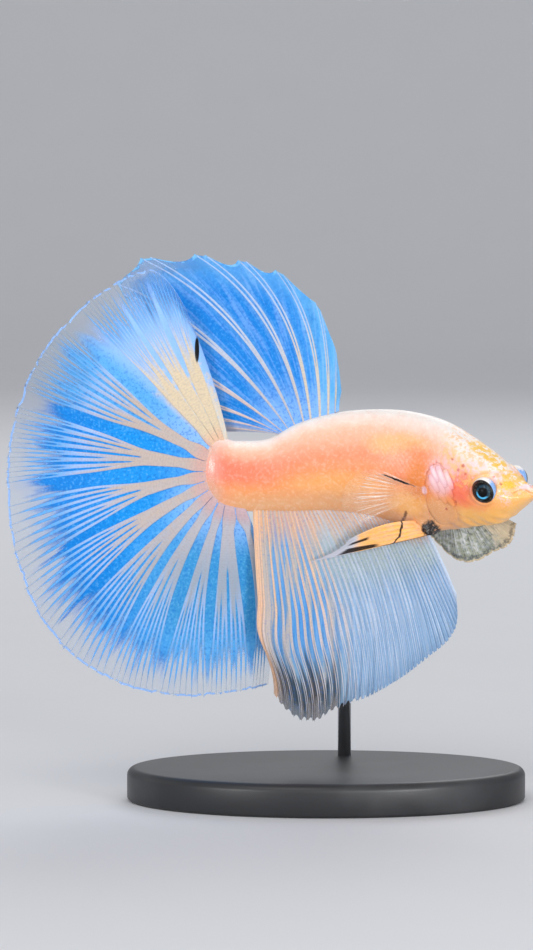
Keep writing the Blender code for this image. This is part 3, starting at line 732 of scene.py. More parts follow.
def markings(work):
    """The fish's colours: a ramp from belly to back, changed towards tail and head, with spots over it.
    Returns the place, the same folded to one side, and the colour."""
    place = work.mark("place", "Vector")
    s, y, z = work.parts(place)
    folded = work.node("ShaderNodeCombineXYZ", {}, {0: s, 1: work.maths("ABSOLUTE", y), 2: z})
    cloud = work.noise(place, 0.55, 3.0) - 0.5
    level = work.mark("height") + 0.10 * cloud
    flank_stops = [
        (0.0, "belly"), (0.12, "belly"), (0.32, "side"), (0.58, "flank"),
        (0.84, "shoulder"), (0.99, "back"), (1.0, "back"),
    ]
    flank = work.node("ShaderNodeValToRGB", {"stops": flank_stops}, {0: level})
    head_stops = [
        (0.0, "orange"), (0.22, "orange"), (0.42, "rose"), (0.60, "flank"),
        (0.80, "shoulder"), (0.97, "back"), (1.0, "back"),
    ]
    head = work.node("ShaderNodeValToRGB", {"stops": head_stops}, {0: level})
    colour = work.blend(flank, head, work.rise(s + 2.0 * cloud, 37.5, 41.0))
    belt = work.rise(level, 0.25, 0.50) * work.rise(level, 0.86, 0.62)
    colour = work.layers(
        colour,
        ("rose", 0.80 * belt * work.rise(s, 17, 1)),
        ("rose", 0.25 * work.rise(s, 4.5, 0.5)),
        ("tan", 0.45 * work.rise(s + 2.0 * cloud, 2.6, -0.6)),
    )
    rough = work.shaken(folded, place, 1.1, 1.6)
    for middle, size, tone, share in (
        ((29.0, 3.6), (5.4, 1.6), "orange", 0.55),
        ((31.6, 1.0), (4.6, 2.4), "flank", 0.85),
        ((20.0, -2.6), (8.0, 1.6), "orange", 0.35),
        ((32.4, -1.8), (2.2, 3.8), "ember", 0.92),
        ((30.2, -5.4), (3.4, 1.8), "orange", 0.60),
        ((49.8, -4.1), (3.6, 1.8), "orange", 0.90),
        ((48.0, -2.0), (1.2, 0.7), "orange", 0.85),
        ((45.5, -6.6), (5.5, 1.9), "orange", 0.75),
        ((44.4, -2.8), (3.0, 2.7), "orange", 0.80),
        ((41.2, -1.9), (2.3, 2.5), "rose", 0.85),
        ((43.6, -4.6), (2.0, 1.0), "rose", 0.30),
        ((39.9, 0.9), (1.4, 1.2), "pearl", 0.22),
        ((36.9, -0.7), (2.3, 2.7), "pearl", 0.60),
        ((36.0, -6.0), (2.8, 1.9), "belly", 0.85),
        ((46.6, -0.7), (1.5, 0.8), "pearl", 0.55),
        ((43.0, 1.0), (1.6, 0.9), "pearl", 0.50),
    ):
        colour = work.blend(colour, tone, share * work.side_spot(rough, middle, size))
    dapple = work.noise(place, 1.5, 4.0)
    upper = work.rise(level, 0.50, 0.62) * work.rise(s, 35.5, 38.5)
    colour = work.layers(
        colour,
        ("orange", 0.60 * upper * work.rise(dapple, 0.44, 0.60)),
        ("pearl", 0.35 * upper * work.rise(dapple, 0.46, 0.34)),
    )
    mottled = work.shaken(folded, place, 1.6, 1.1)
    patchy = work.rise(work.noise(place, 1.1, 3.0), 0.42, 0.48)
    for middle, size in (
        ((41.4, 0.4, 3.3), (1.2, 1.2, 1.0)),
        ((42.5, 0.4, 2.7), (1.0, 1.1, 0.9)),
        ((43.7, 0.5, 2.0), (0.9, 1.0, 0.8)),
        ((44.8, 0.5, 1.2), (1.0, 1.1, 0.8)),
        ((45.7, 0.4, 0.5), (0.9, 0.9, 0.7)),
        ((47.0, 0.6, -0.8), (0.9, 1.1, 0.7)),
        ((48.4, 0.6, -1.8), (1.2, 1.1, 0.7)),
        ((47.8, 1.8, -1.8), (1.1, 0.9, 0.7)),
    ):
        colour = work.blend(colour, "amber", 0.85 * patchy * work.spot(mottled, middle, size, 0.35))
    fine = work.shaken(folded, place, 3.0, 0.35)
    colour = work.blend(colour, "pearl", 0.90 * work.side_spot(fine, (33.6, -2.9), (0.5, 0.6)))
    for middle, size in (
        ((39.2, 2.1), 0.22), ((40.5, 0.6), 0.24), ((41.3, 1.2), 0.28), ((41.9, 0.1), 0.24),
        ((46.0, -0.6), 0.20), ((47.1, -1.6), 0.22), ((39.5, -4.3), 0.26), ((37.3, -5.6), 0.20),
    ):
        colour = work.blend(colour, "dots", 0.75 * work.side_spot(fine, middle, (size, size), 0.6))
    for middle in (
        (29.55, 2.7, -6.8), (29.35, 2.4, -7.2), (29.15, 2.1, -7.6), (28.85, 1.7, -8.0), (28.55, 1.3, -8.4),
    ):
        colour = work.blend(colour, "soot", 0.75 * work.spot(fine, middle, (0.24, 0.4, 0.34), 0.5))
    scorched = work.shaken(folded, place, 1.3, 1.5)
    ragged = work.rise(work.noise(place, 1.6), 0.30, 0.36)
    burnt = work.spot(scorched, (33.4, 2.2, -9.7), (1.5, 2.8, 1.9), 0.2) * ragged
    return place, folded, work.blend(colour, "soot", burnt)


def skin_finish():
    work = Finish("fish_skin")
    place, folded, colour = markings(work)
    shaken = work.shaken(folded, place, 3.0, 0.5)
    speckled = work.rise(work.noise(place, 3.2), 0.44, 0.56)
    speckled = speckled * work.spot(shaken, (47.9, 2.9, -3.2), (0.9, 0.9, 1.5), 0.6)
    grain = work.node("ShaderNodeTexVoronoi", {}, {"Vector": place, "Scale": 4.5}, "Distance")
    colour = work.layers(
        colour,
        ("pearl", 0.75 * work.spot(shaken, (50.2, 0.3, -2.4), (1.5, 0.9, 0.30), 0.4)),
        ("pearl", 0.60 * speckled),
        # Painted shade in the mouth's cleft and the cheek's groove.
        ("dots", work.mark("cleft")),
        ("back", 0.22 * work.rise(grain, 0.42, 0.12)),
    )
    relief = work.bump(0.7 * grain + 0.3 * work.noise(place, 9.0, 3.0), 0.00004, 0.7)
    return work.done(
        Base_Color=colour, Roughness=0.30 + 0.12 * work.noise(place, 2.0), Normal=relief,
        Coat_Weight=0.35, Coat_Roughness=0.12, Subsurface_Weight=0.12,
        Subsurface_Radius=FLESH_GLOW, Subsurface_Scale=0.0012,
    )


def scale_finish(name, pearly):
    work = Finish(name)
    place, _, colour = markings(work)
    rim, tone = work.mark("rim"), work.mark("tone")
    if pearly:
        _, _, z = work.parts(place)
        # On the gill scales, back lightens each scale's middle, more towards the top, as a painted highlight,
        # and dots darkens its rim as painted shade.
        colour = work.layers(
            colour,
            ("pearl", (0.35 + 0.45 * tone) * work.rise(z, -3.9, -0.6)),
            ("back", 0.50 * work.rise(rim, 0.35, 0.0) * work.rise(z, -3.0, 0.5)),
            ("dots", 0.42 * work.rise(rim, 0.80, 1.0)),
        )
    else:
        behind_face = work.rise(work.parts(place)[0], 42.0, 38.5)
        grain = work.rise(work.noise(place, 2.2, 4.0), 0.48, 0.70)
        # The rims are rosier and darker: partly the scales' own rims, partly painted shade where they
        # overlap.
        colour = work.layers(
            colour,
            ("back", (0.04 * tone + 0.12 * grain) * behind_face),
            ("rose", (0.05 * (1 - tone) + 0.34 * work.rise(rim, 0.62, 1.0)) * behind_face),
        )
    sockets = {"Vector": place, "Scale": 2.0, "Distortion": 3.0}
    rings = work.node("ShaderNodeTexWave", {"wave_type": "RINGS"}, sockets)
    return work.done(
        Base_Color=colour, Roughness=0.34 + 0.14 * tone, Normal=work.bump(rings, 0.00001, 0.5),
        Coat_Weight=0.15, Coat_Roughness=0.2, Subsurface_Weight=0.08,
        Subsurface_Radius=FLESH_GLOW, Subsurface_Scale=0.0010,
    )


# ---------------------------------------------------------------- eyes


def eyeball(side, name, finish):
    """A ball flattened sideways, in rings round its gaze; bell curves of the distance shape the cornea."""
    rings = np.linspace(0, math.pi, EYE_RINGS + 2)[1:-1, None]
    turn = np.linspace(0, TURN, EYE_SECTORS, endpoint=False)[None, :]
    x, z, out = np.sin(rings) * np.cos(turn), np.sin(rings) * np.sin(turn), np.cos(rings) + 0 * turn
    gaze = np.concatenate([np.stack([x, z, out], axis=-1).reshape(-1, 3), [(0, 0, 1)], [(0, 0, -1)]])
    x, z, out = gaze.T
    lifted = out * math.cos(GAZE_DOWN) + z * math.sin(GAZE_DOWN)
    z = z * math.cos(GAZE_DOWN) - out * math.sin(GAZE_DOWN)
    forwards = x * math.cos(GAZE_FORWARDS) + lifted * math.sin(GAZE_FORWARDS)
    sideways = lifted * math.cos(GAZE_FORWARDS) - x * math.sin(GAZE_FORWARDS)
    reach = np.hypot(gaze[:, 0], gaze[:, 1])
    front = gaze[:, 2] > 0
    dips = 0.025 * hump(reach - 0.62, 0.12) + 0.03 * hump(reach - 0.88, 0.04)
    bulge = 1 + front * (0.06 * hump(reach, 0.45) - dips)
    s = EYE_PLACE + EYE_RADIUS * forwards * bulge
    z = EYE_HEIGHT + EYE_RADIUS * z * bulge
    y = side * (EYE_OFFSET + EYE_HALF_DEPTH * sideways * bulge)
    corners, quads, ends = tube_faces(EYE_RINGS, EYE_SECTORS)
    radius = (corners[..., 0] + 1) / (EYE_RINGS + 2) * 0.48
    angle = corners[..., 1] / EYE_SECTORS * TURN
    chart = 0.5 + np.stack([radius * np.cos(angle), radius * np.sin(angle)], axis=-1)
    end_chart = np.zeros((len(ends), 3, 2)) + 0.5
    return make_piece(name, bent(s, y, z), [quads, ends], finish, {"gaze": gaze}, [chart, end_chart])


def eye_finish():
    work = Finish("eye")
    gaze = work.mark("gaze", "Vector")
    x, z, out = work.parts(gaze)
    reach = work.maths("SQRT", x * x + z * z)
    aside, above = x - PUPIL_FORWARDS, z - PUPIL_UP
    from_pupil = work.maths("SQRT", aside * aside + above * above)
    back_half = work.rise(out, -0.10, -0.14)
    cloud = work.noise(gaze, 5.0, 3.0)
    iris = work.blend("iris", "smoke", 0.10 * work.rise(cloud, 0.50, 0.66))
    iris = work.blend(iris, "dots", 0.12 * work.rise(reach, 0.70, 0.88) * work.rise(x, 0.1, -0.5))
    ring = work.rise(from_pupil, 0.34, 0.40) * work.rise(from_pupil, 0.58, 0.50)
    glow = 0.07 + 0.93 * work.rise(above + 0.6 * aside, -0.14, -0.40)
    iris = work.blend(iris, "ring", ring * glow * work.rise(cloud, 0.25, 0.45))
    colour = work.blend("pupil", iris, work.rise(from_pupil, 0.31, 0.35))
    # Painted light on the rim of the eyeball round the dark disc: its own pale blue, mixed with a painted
    # blue reflection of the cornea and whitened towards the top as a painted highlight.
    painted_highlight = work.rise(z + 0.5 * (cloud - 0.5), 0.55, 0.88)
    white = work.blend(work.blend("azure", "eye_rim", 0.45 + 0.30 * cloud), "back", painted_highlight)
    white = work.blend(white, "back", 0.75 * work.rise(out, -0.35, -0.60))
    rim = work.maths("MAXIMUM", work.rise(reach, 0.945, 0.965), back_half)
    colour = work.blend(colour, white, rim)
    return work.done(
        Base_Color=colour, Roughness=0.30 + 0.1 * cloud, Specular_IOR_Level=0.12,
        Coat_Weight=0.14, Coat_Roughness=0.02, Coat_IOR=1.35,
    )


# ---------------------------------------------------------------- fin surfaces


def rays(root, tip, bow, v):
    """Places in s and z at share v along rays, each curving from its root, past its bow point, to its tip."""
    return tuple((1 - v) ** 2 * r + 2 * v * (1 - v) * b + v**2 * t for r, b, t in zip(root, bow, tip))


def bow_point(root, tip, angle, share):
    """A ray's bow point: out of its root at an angle, for a share of the way to its tip."""
    reach = np.hypot(tip[0] - root[0], tip[1] - root[1]) * share
    return root[0] + reach * np.cos(angle), root[1] + reach * np.sin(angle)


def out_from_root(v, power):
    """A power of v that stays at nothing inside the body, where v is below 0."""
    return np.maximum(v, 0) ** power


def dorsal_surface(u, v):
    """Back fin: u runs from its rear edge to its front one and v from the back to the ray tips."""
    root_s = 9.3 + 9.6 * u**1.6
    root = (root_s, back(root_s) + ROOT_GAP)
    share = [0, 0.08, 0.17, 0.25, 0.32, 0.45, 0.58, 0.70, 0.80, 0.89, 0.96, 1]
    tip = (
        through(share, [0.6, -3.2, -6.8, -11.2, -14.8, -7.2, 3.0, 9.9, 14.5, 17.4, 18.8, 19.3], u),
        through(share, [4.7, 7.2, 12.6, 21.2, 28.0, 31.5, 30.9, 29.0, 25.5, 20.5, 15.3, 11.0], u),
    )
    s, z = rays(root, tip, bow_point(root, tip, np.radians(88 + 88 * (1 - u) ** 2), 0.5), v)
    waves = 0.55 * out_from_root(v, 1) * np.sin(TURN * (2.3 * u + 0.3 * v))
    return s, 3.2 * out_from_root(v, 1.4) * (1.05 - 0.5 * u) + waves, z


def caudal_surface(u, v):
    """Tail fin: u runs from its upper edge to its lower one and v from the tail stem to the ray tips."""
    start = np.radians(100 + 174 * u)
    slide = 1.9 * ramp(u, 0.9, 1)
    root = (
        FAN_ROOT[0] + FAN_ROOT_RADII[0] * np.cos(start) + slide,
        FAN_ROOT[1] + FAN_ROOT_RADII[1] * np.sin(start) - 0.15 * slide,
    )
    degrees = 103.5 + 177.5 * u
    reach = FAN_RADIUS + 4.1 * hump(degrees - 233, 30) + 0.7 * ramp(degrees, 240, 262)
    reach = reach - 10.5 * hump(degrees - 100.5, 5.5)
    angle = np.radians(degrees)
    tip = (FAN_CENTRE[0] + reach * np.cos(angle), FAN_CENTRE[1] + reach * np.sin(angle))
    outset = (start + angle) / 2 + 0.28 * ramp(u, 0.88, 1)
    s, z = rays(root, tip, bow_point(root, tip, outset, 0.45), v)
    lean = 2.5 * out_from_root(v, 0.75) * ramp(u, 0.5, 1)
    lean = lean - 2.8 * out_from_root(v, 1.3) * (1 - ramp(u, 0, 0.9))
    waves = 1.15 * out_from_root(v, 1.6) * np.sin(TURN * (3.1 * u + 0.10 * v))
    waves = waves + 0.4 * v**2 * np.sin(TURN * 7.3 * u)
    return s, lean + waves * ramp(v, 0, 0.5) * (1 - 0.6 * ramp(u, 0.85, 1)), z


def anal_surface(u, v):
    """Belly fin: u runs from its rear edge to its front one and v from the belly to the ray tips."""
    root_s = 6.0 + 26.2 * u
    root = (root_s, belly(root_s) - ROOT_GAP)
    share = [0, 0.10, 0.22, 0.36, 0.50, 0.62, 0.74, 0.85, 0.94, 1]
    tip = (
        through(share, [8.2, 10.6, 14.2, 18.8, 24.2, 28.6, 32.0, 34.7, 35.9, 36.0], u),
        through(share, [-34.6, -37.6, -38.7, -36.4, -34.6, -32.1, -29.2, -26.5, -23.4, -19.8], u),
    )
    angle = np.radians(-88 + 28 * ramp(u, 0.02, 0.55) - 4 * ramp(u, 0.7, 1))
    s, z = rays(root, tip, bow_point(root, tip, angle, 0.5), v)
    curl = (1 - ramp(u, 0.05, 0.5)) * ramp(v, 0.45, 0.75)
    s = s + 1.1 * curl * np.sin(TURN * (1.25 * v + 0.1))
    pleats = 0.62 * (1 - ramp(u, 0.3, 0.75)) * ramp(v, 0.25, 0.9) * np.sin(TURN * (9.5 * u + 0.35 * v))
    swell = out_from_root(v, 1.5) * np.sin(TURN * (1.35 * u + 0.15))
    return s, -3.2 * out_from_root(v, 0.75) * (1 - u) ** 0.8 + pleats + swell, z


def pectoral_surface(side):
    """Side fin: the right one is laid back along the flank, the left one is swept forwards and down."""
    laid_back = side < 0

    def surface(u, v):
        if laid_back:
            angle = np.radians(202 - 42 * u)
            reach = 13.4 + 0.6 * np.sin(math.pi * u) - 6.3 * u**3
        else:
            angle = np.radians(-107 + 71 * u)
            reach = 9.8 + 3.6 * ramp(u, 0, 0.38) - 1.0 * ramp(u, 0.4, 0.62) - 1.9 * ramp(u, 0.72, 1)
        root = (33.1 + 0.6 * np.cos(angle), -3.1 + (0.9 - 1.8 * u) * (-1 if laid_back else 1))
        tip = (root[0] + reach * np.cos(angle), root[1] + reach * np.sin(angle))
        s, z = rays(root, tip, bow_point(root, tip, angle, 0.5), v)
        out = 2.2 * out_from_root(v, 1.2) if laid_back else 1.0 * v
        return s, side * (5.3 + out + 0.3 * v * np.sin(TURN * 2.5 * u) - 6.0 * np.maximum(0, -v)), z

    return surface


def pelvic_surface(side):
    """Belly-side fin: a narrow blade swept back, whose front rays run out into a long point."""

    def surface(u, v):
        up = (1 - u) ** 1.5
        root_s = 30.2 + 3.4 * u
        root = (root_s, belly(root_s) - ROOT_GAP + 1.9 * up)
        tip = (20.0 - 5.7 * u**1.5, -11.2 - 3.3 * u)
        bow = (25.4 + 3.8 * u, -8.0 - 3.1 * u)
        s, z = rays(root, tip, bow, v)
        bulge = 2.0 * np.sin(0.8 * math.pi * out_from_root(v, 0.8))
        return s, side * (1.2 + 1.5 * up * (1 - 0.6 * v) + bulge), z

    return surface


# ---------------------------------------------------------------- fins


def even_rays(count, branches, stem):
    """Rays at even places across the fin, all with as many branches; stem is a share of their pitch."""
    pitch = 1 / count
    middle = pitch * (np.arange(count) + 0.5)
    same = np.ones(count)
    return np.stack([middle, middle, 0.44 * pitch * same, branches * same, stem * pitch * same], axis=-1)


def strand_widths(fin_rays, v, ray, many, bare, flare, grow, taper):
    """Share of the fin that each strand takes at every v: its part of the stem, which flares out to the next
    ray's at the root, then its part of the ray's fan, of which bones take the share bare, then a point."""
    pitch = np.gradient(fin_rays[:, 0])[ray]
    own = np.minimum(fin_rays[ray, 4], 0.94 * pitch)
    stem = own + flare * (0.94 * pitch - own) * (1 - ramp(v, 0.02, 0.13))[:, None]
    twigs = 2 * bare * fin_rays[ray, 2]
    share = ramp(v, *grow)[:, None]
    return (stem * (1 - share) + twigs * share) / many * (1 - taper[2] * ramp(v, *taper[:2]))[:, None]


def strand_paths(fin_rays, v, splits, ray, number, many, step, drift):
    """Where across the fin each strand runs, at every v. A ray moves from its root's place to its fan's as a
    power of v. At each split a bundle parts in two, whose middles move from side by side to the middle of
    their tips."""
    root, tip, spread, _, _ = fin_rays[ray].T
    path = root + (tip - root) * np.maximum(v, 0)[:, None] ** drift
    middle = tip
    for level, split in enumerate(splits):
        whole = np.maximum(1, many // 2**level)
        bundle = np.maximum(1, whole // 2)
        group, parent = number // bundle, number // whole
        own = tip + spread * (2 * (group + 0.5) * bundle / many - 1)
        beside = (group + 0.5) * bundle - (parent + 0.5) * whole
        start = split + 0.10 * (scatter(ray * 5.3 + parent * 1.7 + level) - 0.5)
        part = np.clip((v[:, None] - start) / (1 - start), 0, 1)
        part = part * (1.7 - 0.7 * part)
        path = path + (own - middle) * part + beside * step * (1 - part)
        middle = own
    return path


def fin_columns(fin_rays, v, splits, bare, flare, span, grow, taper, drift):
    """Columns across the fin at every v: three for each strand (edge, middle, edge), five in each membrane
    between rays and two along each border. bone is 1 in the bone and 0 in the membrane, and gap is 1 halfway
    between the rays."""
    count = fin_rays[:, 3].astype(int)
    ray = np.repeat(np.arange(len(count)), count)
    number = np.arange(len(ray)) - np.repeat(np.cumsum(count) - count, count)
    many = np.repeat(count, count)
    wide = (span[0] + (span[1] - span[0]) * np.maximum(v, 0))[:, None]
    width = strand_widths(fin_rays, v, ray, many, bare, flare, grow, taper)
    path = strand_paths(fin_rays, v, splits, ray, number, many, width * 1.04, drift)
    left, right = path - width / 2, path + width / 2
    space = (left[:, 1:] - right[:, :-1]) * wide
    joined = np.clip(1 - space / 0.12, 0, 1) * (ray[1:] == ray[:-1])
    edge = np.zeros((len(v), 1))
    ray_left, ray_right = np.hstack([edge, joined]), np.hstack([joined, edge])
    strands = np.stack([left, path, right], axis=-1)
    bones = np.stack([ray_left, np.ones_like(path), ray_right], axis=-1)
    blocks = []
    for i in range(len(fin_rays) + 1):
        before = right[:, ray == i - 1][:, -1:] if i else edge
        own = ray == i
        after = left[:, own][:, :1] if i < len(fin_rays) else edge + 1
        inner = 0 < i < len(fin_rays)
        steps = np.arange(1, 6) / 6 if inner else np.array([0.0, 0.5]) + 0.5 * (i > 0)
        gap = before + (after - before) * steps
        blocks.append(np.stack([gap, 0 * gap, 0 * gap + inner * 4 * steps * (1 - steps)], axis=-1))
        if i < len(fin_rays):
            here = strands[:, own].reshape(len(v), -1)
            bone = bones[:, own].reshape(len(v), -1)
            blocks.append(np.stack([here, bone, 0 * here], axis=-1))
    u, bone, gap = np.concatenate(blocks, axis=1).transpose(2, 0, 1)
    u = np.clip(u, 0, 1)
    u = np.maximum.accumulate(u + 1e-6 * np.arange(u.shape[1]), axis=1)
    return u / u[:, -1:].clip(1), bone, gap


def fin(name, surface, fin_rays, finish, rows, splits, bare, span, ripple, flare=0.0, start=-0.05,
        grow=(0.25, 0.75), taper=(0.82, 1.0, 0.65), drift=1.0, tip_notch=0.012, gap_notch=0.025,
        uneven=0.010, swell=0.2):
    """A fin: its columns laid on its surface, with bones and membrane of their own thickness on both faces.
    The edge is drawn in between the ray tips, and the two faces share the points of the rim."""
    size = sizes()
    way = np.linspace(0, 1, rows)
    v = start + (1 - start) * way * (1.35 - 0.35 * way)
    u, bone, gap = fin_columns(fin_rays, v, splits, bare, flare, span, grow, taper, drift)
    v = np.broadcast_to(v[:, None], u.shape)
    tip_bone = bone[-1]
    notch = tip_notch * (1 - tip_bone) + (gap_notch - tip_notch) * gap[-1]
    notch = notch + uneven * scatter(np.arange(u.shape[1]) // 3) * (0.3 + 0.7 * tip_bone)
    v_used = v * (1 - notch * ramp(v, 0.86, 1.0))
    s, y, z = surface(u, v_used)
    y = y + ripple * out_from_root(v, 1) * np.cos(TURN * u * len(fin_rays))
    nudge = 1e-3
    over_u = bent(*surface(np.minimum(u + nudge, 1), v)) - bent(*surface(np.maximum(u - nudge, 0), v))
    over_v = bent(*surface(u, v + nudge)) - bent(*surface(u, v - nudge))
    normal = np.cross(over_u, over_v)
    normal = normal / np.linalg.norm(normal, axis=-1, keepdims=True)
    web, thick = size.web, size.bone
    half = web * (1 - 0.6 * v.clip(0)) + (thick * (1 - 0.72 * ramp(v, 0.1, 0.95)) - web * 0.4).clip(0) * bone
    half = half + swell * MM * (1 - ramp(v, start, 0.10))
    border = np.zeros(u.shape, bool)
    border[[0, -1]] = border[:, [0, -1]] = True
    half = np.where(border, 0, half)[..., None]
    middle = bent(s, y, z)
    front, rear = middle + half * normal, middle - half * normal
    count = u.size
    numbers = np.arange(count).reshape(u.shape)
    behind = numbers.copy()
    behind[~border] = count + np.arange((~border).sum())
    i, j = grid_corners(*u.shape).transpose(2, 0, 1)
    faces = np.concatenate([numbers[i, j], behind[i, j][:, ::-1]])
    chart = np.stack([0.01 + 0.98 * u[-1][j], 0.01 + 0.48 * i / (rows - 1)], axis=-1)
    chart = np.concatenate([chart, chart[:, ::-1] + (0, 0.5)])
    marks = {
        "place": np.stack([s, y, z], axis=-1), "ray": bone, "gap": gap, "along": v, "across": u,
        "tone": np.broadcast_to(scatter(np.arange(u.shape[1]) // 3 * 0.37), u.shape),
    }
    marks = {mark: faced(values, values, border) for mark, values in marks.items()}
    return make_piece(name, faced(front, rear, border), [faces], finish, marks, [chart], thin=True)


def faced(front, rear, border):
    """Values of the front face's whole grid, then those of the rear face without the rim that they share."""
    return np.concatenate([front.reshape((-1,) + front.shape[2:]), rear[~border]])


def open_fin(name):
    """A fin material with the marks that every fin carries."""
    work = Finish(name)
    work.place = work.mark("place", "Vector")
    work.ray, work.gap, work.along = work.mark("ray"), work.mark("gap"), work.mark("along")
    work.across, work.tone = work.mark("across"), work.mark("tone")
    work.bone = work.rise(work.ray, 0.14, 0.52)
    work.fleck = work.noise(work.place, 2.6, 4.0)
    work.streak = work.noise(work.vector("MULTIPLY", work.place, (1, 0, 1)), 0.9, 2.0)
    lanes = work.node("ShaderNodeCombineXYZ", {}, {0: work.across * 48.0, 1: work.along * 2.6})
    work.lane = work.noise(lanes, 1.0, 3.0)
    return work


def close_fin(work, colour, alpha):
    """Adds the joints across the bones, the bump of bones and flecks, and the wet gloss."""
    bars = work.maths("SINE", work.along * RAY_JOINTS)
    grain = work.noise(work.vector("MULTIPLY", work.place, (1, 0, 1)), 2.6, 4.0)
    shade = 0.10 * work.rise(bars, 0.1, 1.0) + 0.22 * work.rise(grain, 0.55, 0.36)
    colour = work.blend(colour, (0.30, 0.26, 0.28, 1), work.bone * shade)
    height = 0.7 * work.bone + 0.16 * bars * work.bone + 0.35 * work.fleck
    relief = work.bump(height, 0.00006, 0.6)
    return work.done(
        Base_Color=colour, Alpha=alpha, Roughness=0.42, Normal=relief, Specular_IOR_Level=0.17,
        Coat_Weight=0.03, Coat_Roughness=0.25,
    )


def caudal_finish():
    work = open_fin("caudal_fin")
    along, across, tone = work.along, work.across, work.tone
    far = work.rise(along + 0.20 * (tone - 0.5), 0.40, 0.72)
    upper = work.rise(across, 0.205, 0.165)
    grey = work.rise(across + 0.5 * (work.streak - 0.5), 0.45, 0.85)
    ray = work.layers(
        "tan",
        ("mauve", 0.20 * tone + 0.40 * grey),
        ("cream", 0.90 * upper),
        ("mist", 0.55 * work.rise(across, 0.60, 0.86) * work.rise(along, 0.10, 0.40)),
        ("lilac", 0.85 * far),
        (work.blend("sky", "azure", 0.55), 0.90 * work.rise(along, 0.62, 0.80)),
        ("rose", 0.20 * work.rise(along, 0.10, 0.0)),
    )
    between = work.rise(work.gap, 0.05, 0.6)
    mid = work.rise(across, 0.28, 0.33) * work.rise(across + 0.35 * (0.5 - along), 0.80, 0.60)
    pale = work.rise(along, 0.30, 0.05) * (0.25 + 0.75 * work.rise(across, 0.47, 0.58))
    web = work.layers(
        "sky",
        ("azure", 0.50 + 0.50 * mid),
        ("deep", 0.45 * mid * work.rise(along, 0.40, 0.72)),
        ("teal", 0.75 * work.rise(across, 0.62, 0.84) * work.rise(along, 0.85, 0.55)),
        ("lilac", 0.70 * pale),
        ("lilac", 0.75 * work.rise(across, 0.30, 0.26) * work.rise(along, 0.45, 0.10)),
        ("lilac", 0.90 * upper),
        ("cream", 0.85 * upper * work.rise(along + 0.5 * (work.streak - 0.5), 0.46, 0.30)),
        ("sky", 0.35 * work.rise(work.fleck, 0.54, 0.66)),
        ("deep", 0.50 * work.rise(work.fleck, 0.50, 0.34) * (1 - 0.8 * upper)),
    )
    colour = work.blend(web, ray, work.bone)
    limit = along + 0.34 * (work.lane - 0.5) + 0.08 * (tone - 0.5)
    clear_web = work.rise(limit - 0.04 * between, 0.71, 0.87)
    clear_ray = work.rise(along + 0.10 * (tone - 0.5), 0.88, 0.96)
    colour = work.blend(colour, "clear", clear_ray * 0.6)
    alpha = 1 - clear_web * (1 - work.bone) * 0.88 - clear_ray * work.bone * 0.50
    edge = work.rise(along, 0.986, 0.994) * work.rise(work.streak, 0.38, 0.50)
    colour = work.blend(colour, "lilac", edge)
    alpha = work.maths("MAXIMUM", alpha, 0.80 * edge)
    black = work.spot(work.place, (-2.35, 0, 17.3), (0.34, 9.0, 1.9), 0.15) * work.rise(across, 0.10, 0.05)
    colour = work.blend(colour, "pupil", black)
    return close_fin(work, colour, work.maths("MAXIMUM", alpha, black))


def dorsal_finish():
    work = open_fin("dorsal_fin")
    along, across = work.along, work.across
    between = work.rise(work.gap, 0.1, 0.8)
    ray = work.layers(
        "frost",
        ("tan", 0.20 + 0.45 * work.rise(along, 0.55, 0.10)),
        ("cream", 0.70 * work.rise(across, 0.56, 0.64) * work.rise(along, 0.80, 0.35)),
        ("peach", 0.45 * work.rise(across, 0.30, 0.18)),
        ("lilac", 0.60 * work.rise(along, 0.50, 0.90)),
    )
    front = work.rise(across + 0.25 * (work.streak - 0.5), 0.62, 0.90)
    web = work.layers(
        "sky",
        ("azure", (0.45 + 0.55 * between) * (1 - 0.55 * front)),
        ("deep", 0.52 * (1 - front)),
        ("lilac", 0.60 * work.rise(along, 0.30, 0.02)),
        ("lilac", 0.34 * work.rise(work.lane, 0.48, 0.64)),
        ("sky", 0.18 * work.rise(work.fleck, 0.52, 0.66)),
        ("deep", 0.45 * work.rise(work.fleck, 0.50, 0.35) * (1 - 0.6 * front)),
        ("sky", 0.35 * work.rise(along, 0.70, 0.95)),
        ("cream", 0.45 * work.rise(across, 0.10, 0.02)),
    )
    colour = work.blend(web, ray, 0.92 * work.bone)
    limit = along + 0.10 * (work.streak - 0.5)
    clear = work.rise(limit, 0.84, 0.95) * work.rise(across, 0.55, 0.38) * (1 - work.bone)
    edge = work.rise(along, 0.982, 0.992) * work.rise(work.streak, 0.42, 0.52)
    colour = work.blend(colour, "sky", edge)
    return close_fin(work, colour, 1 - 0.75 * clear * (1 - edge))


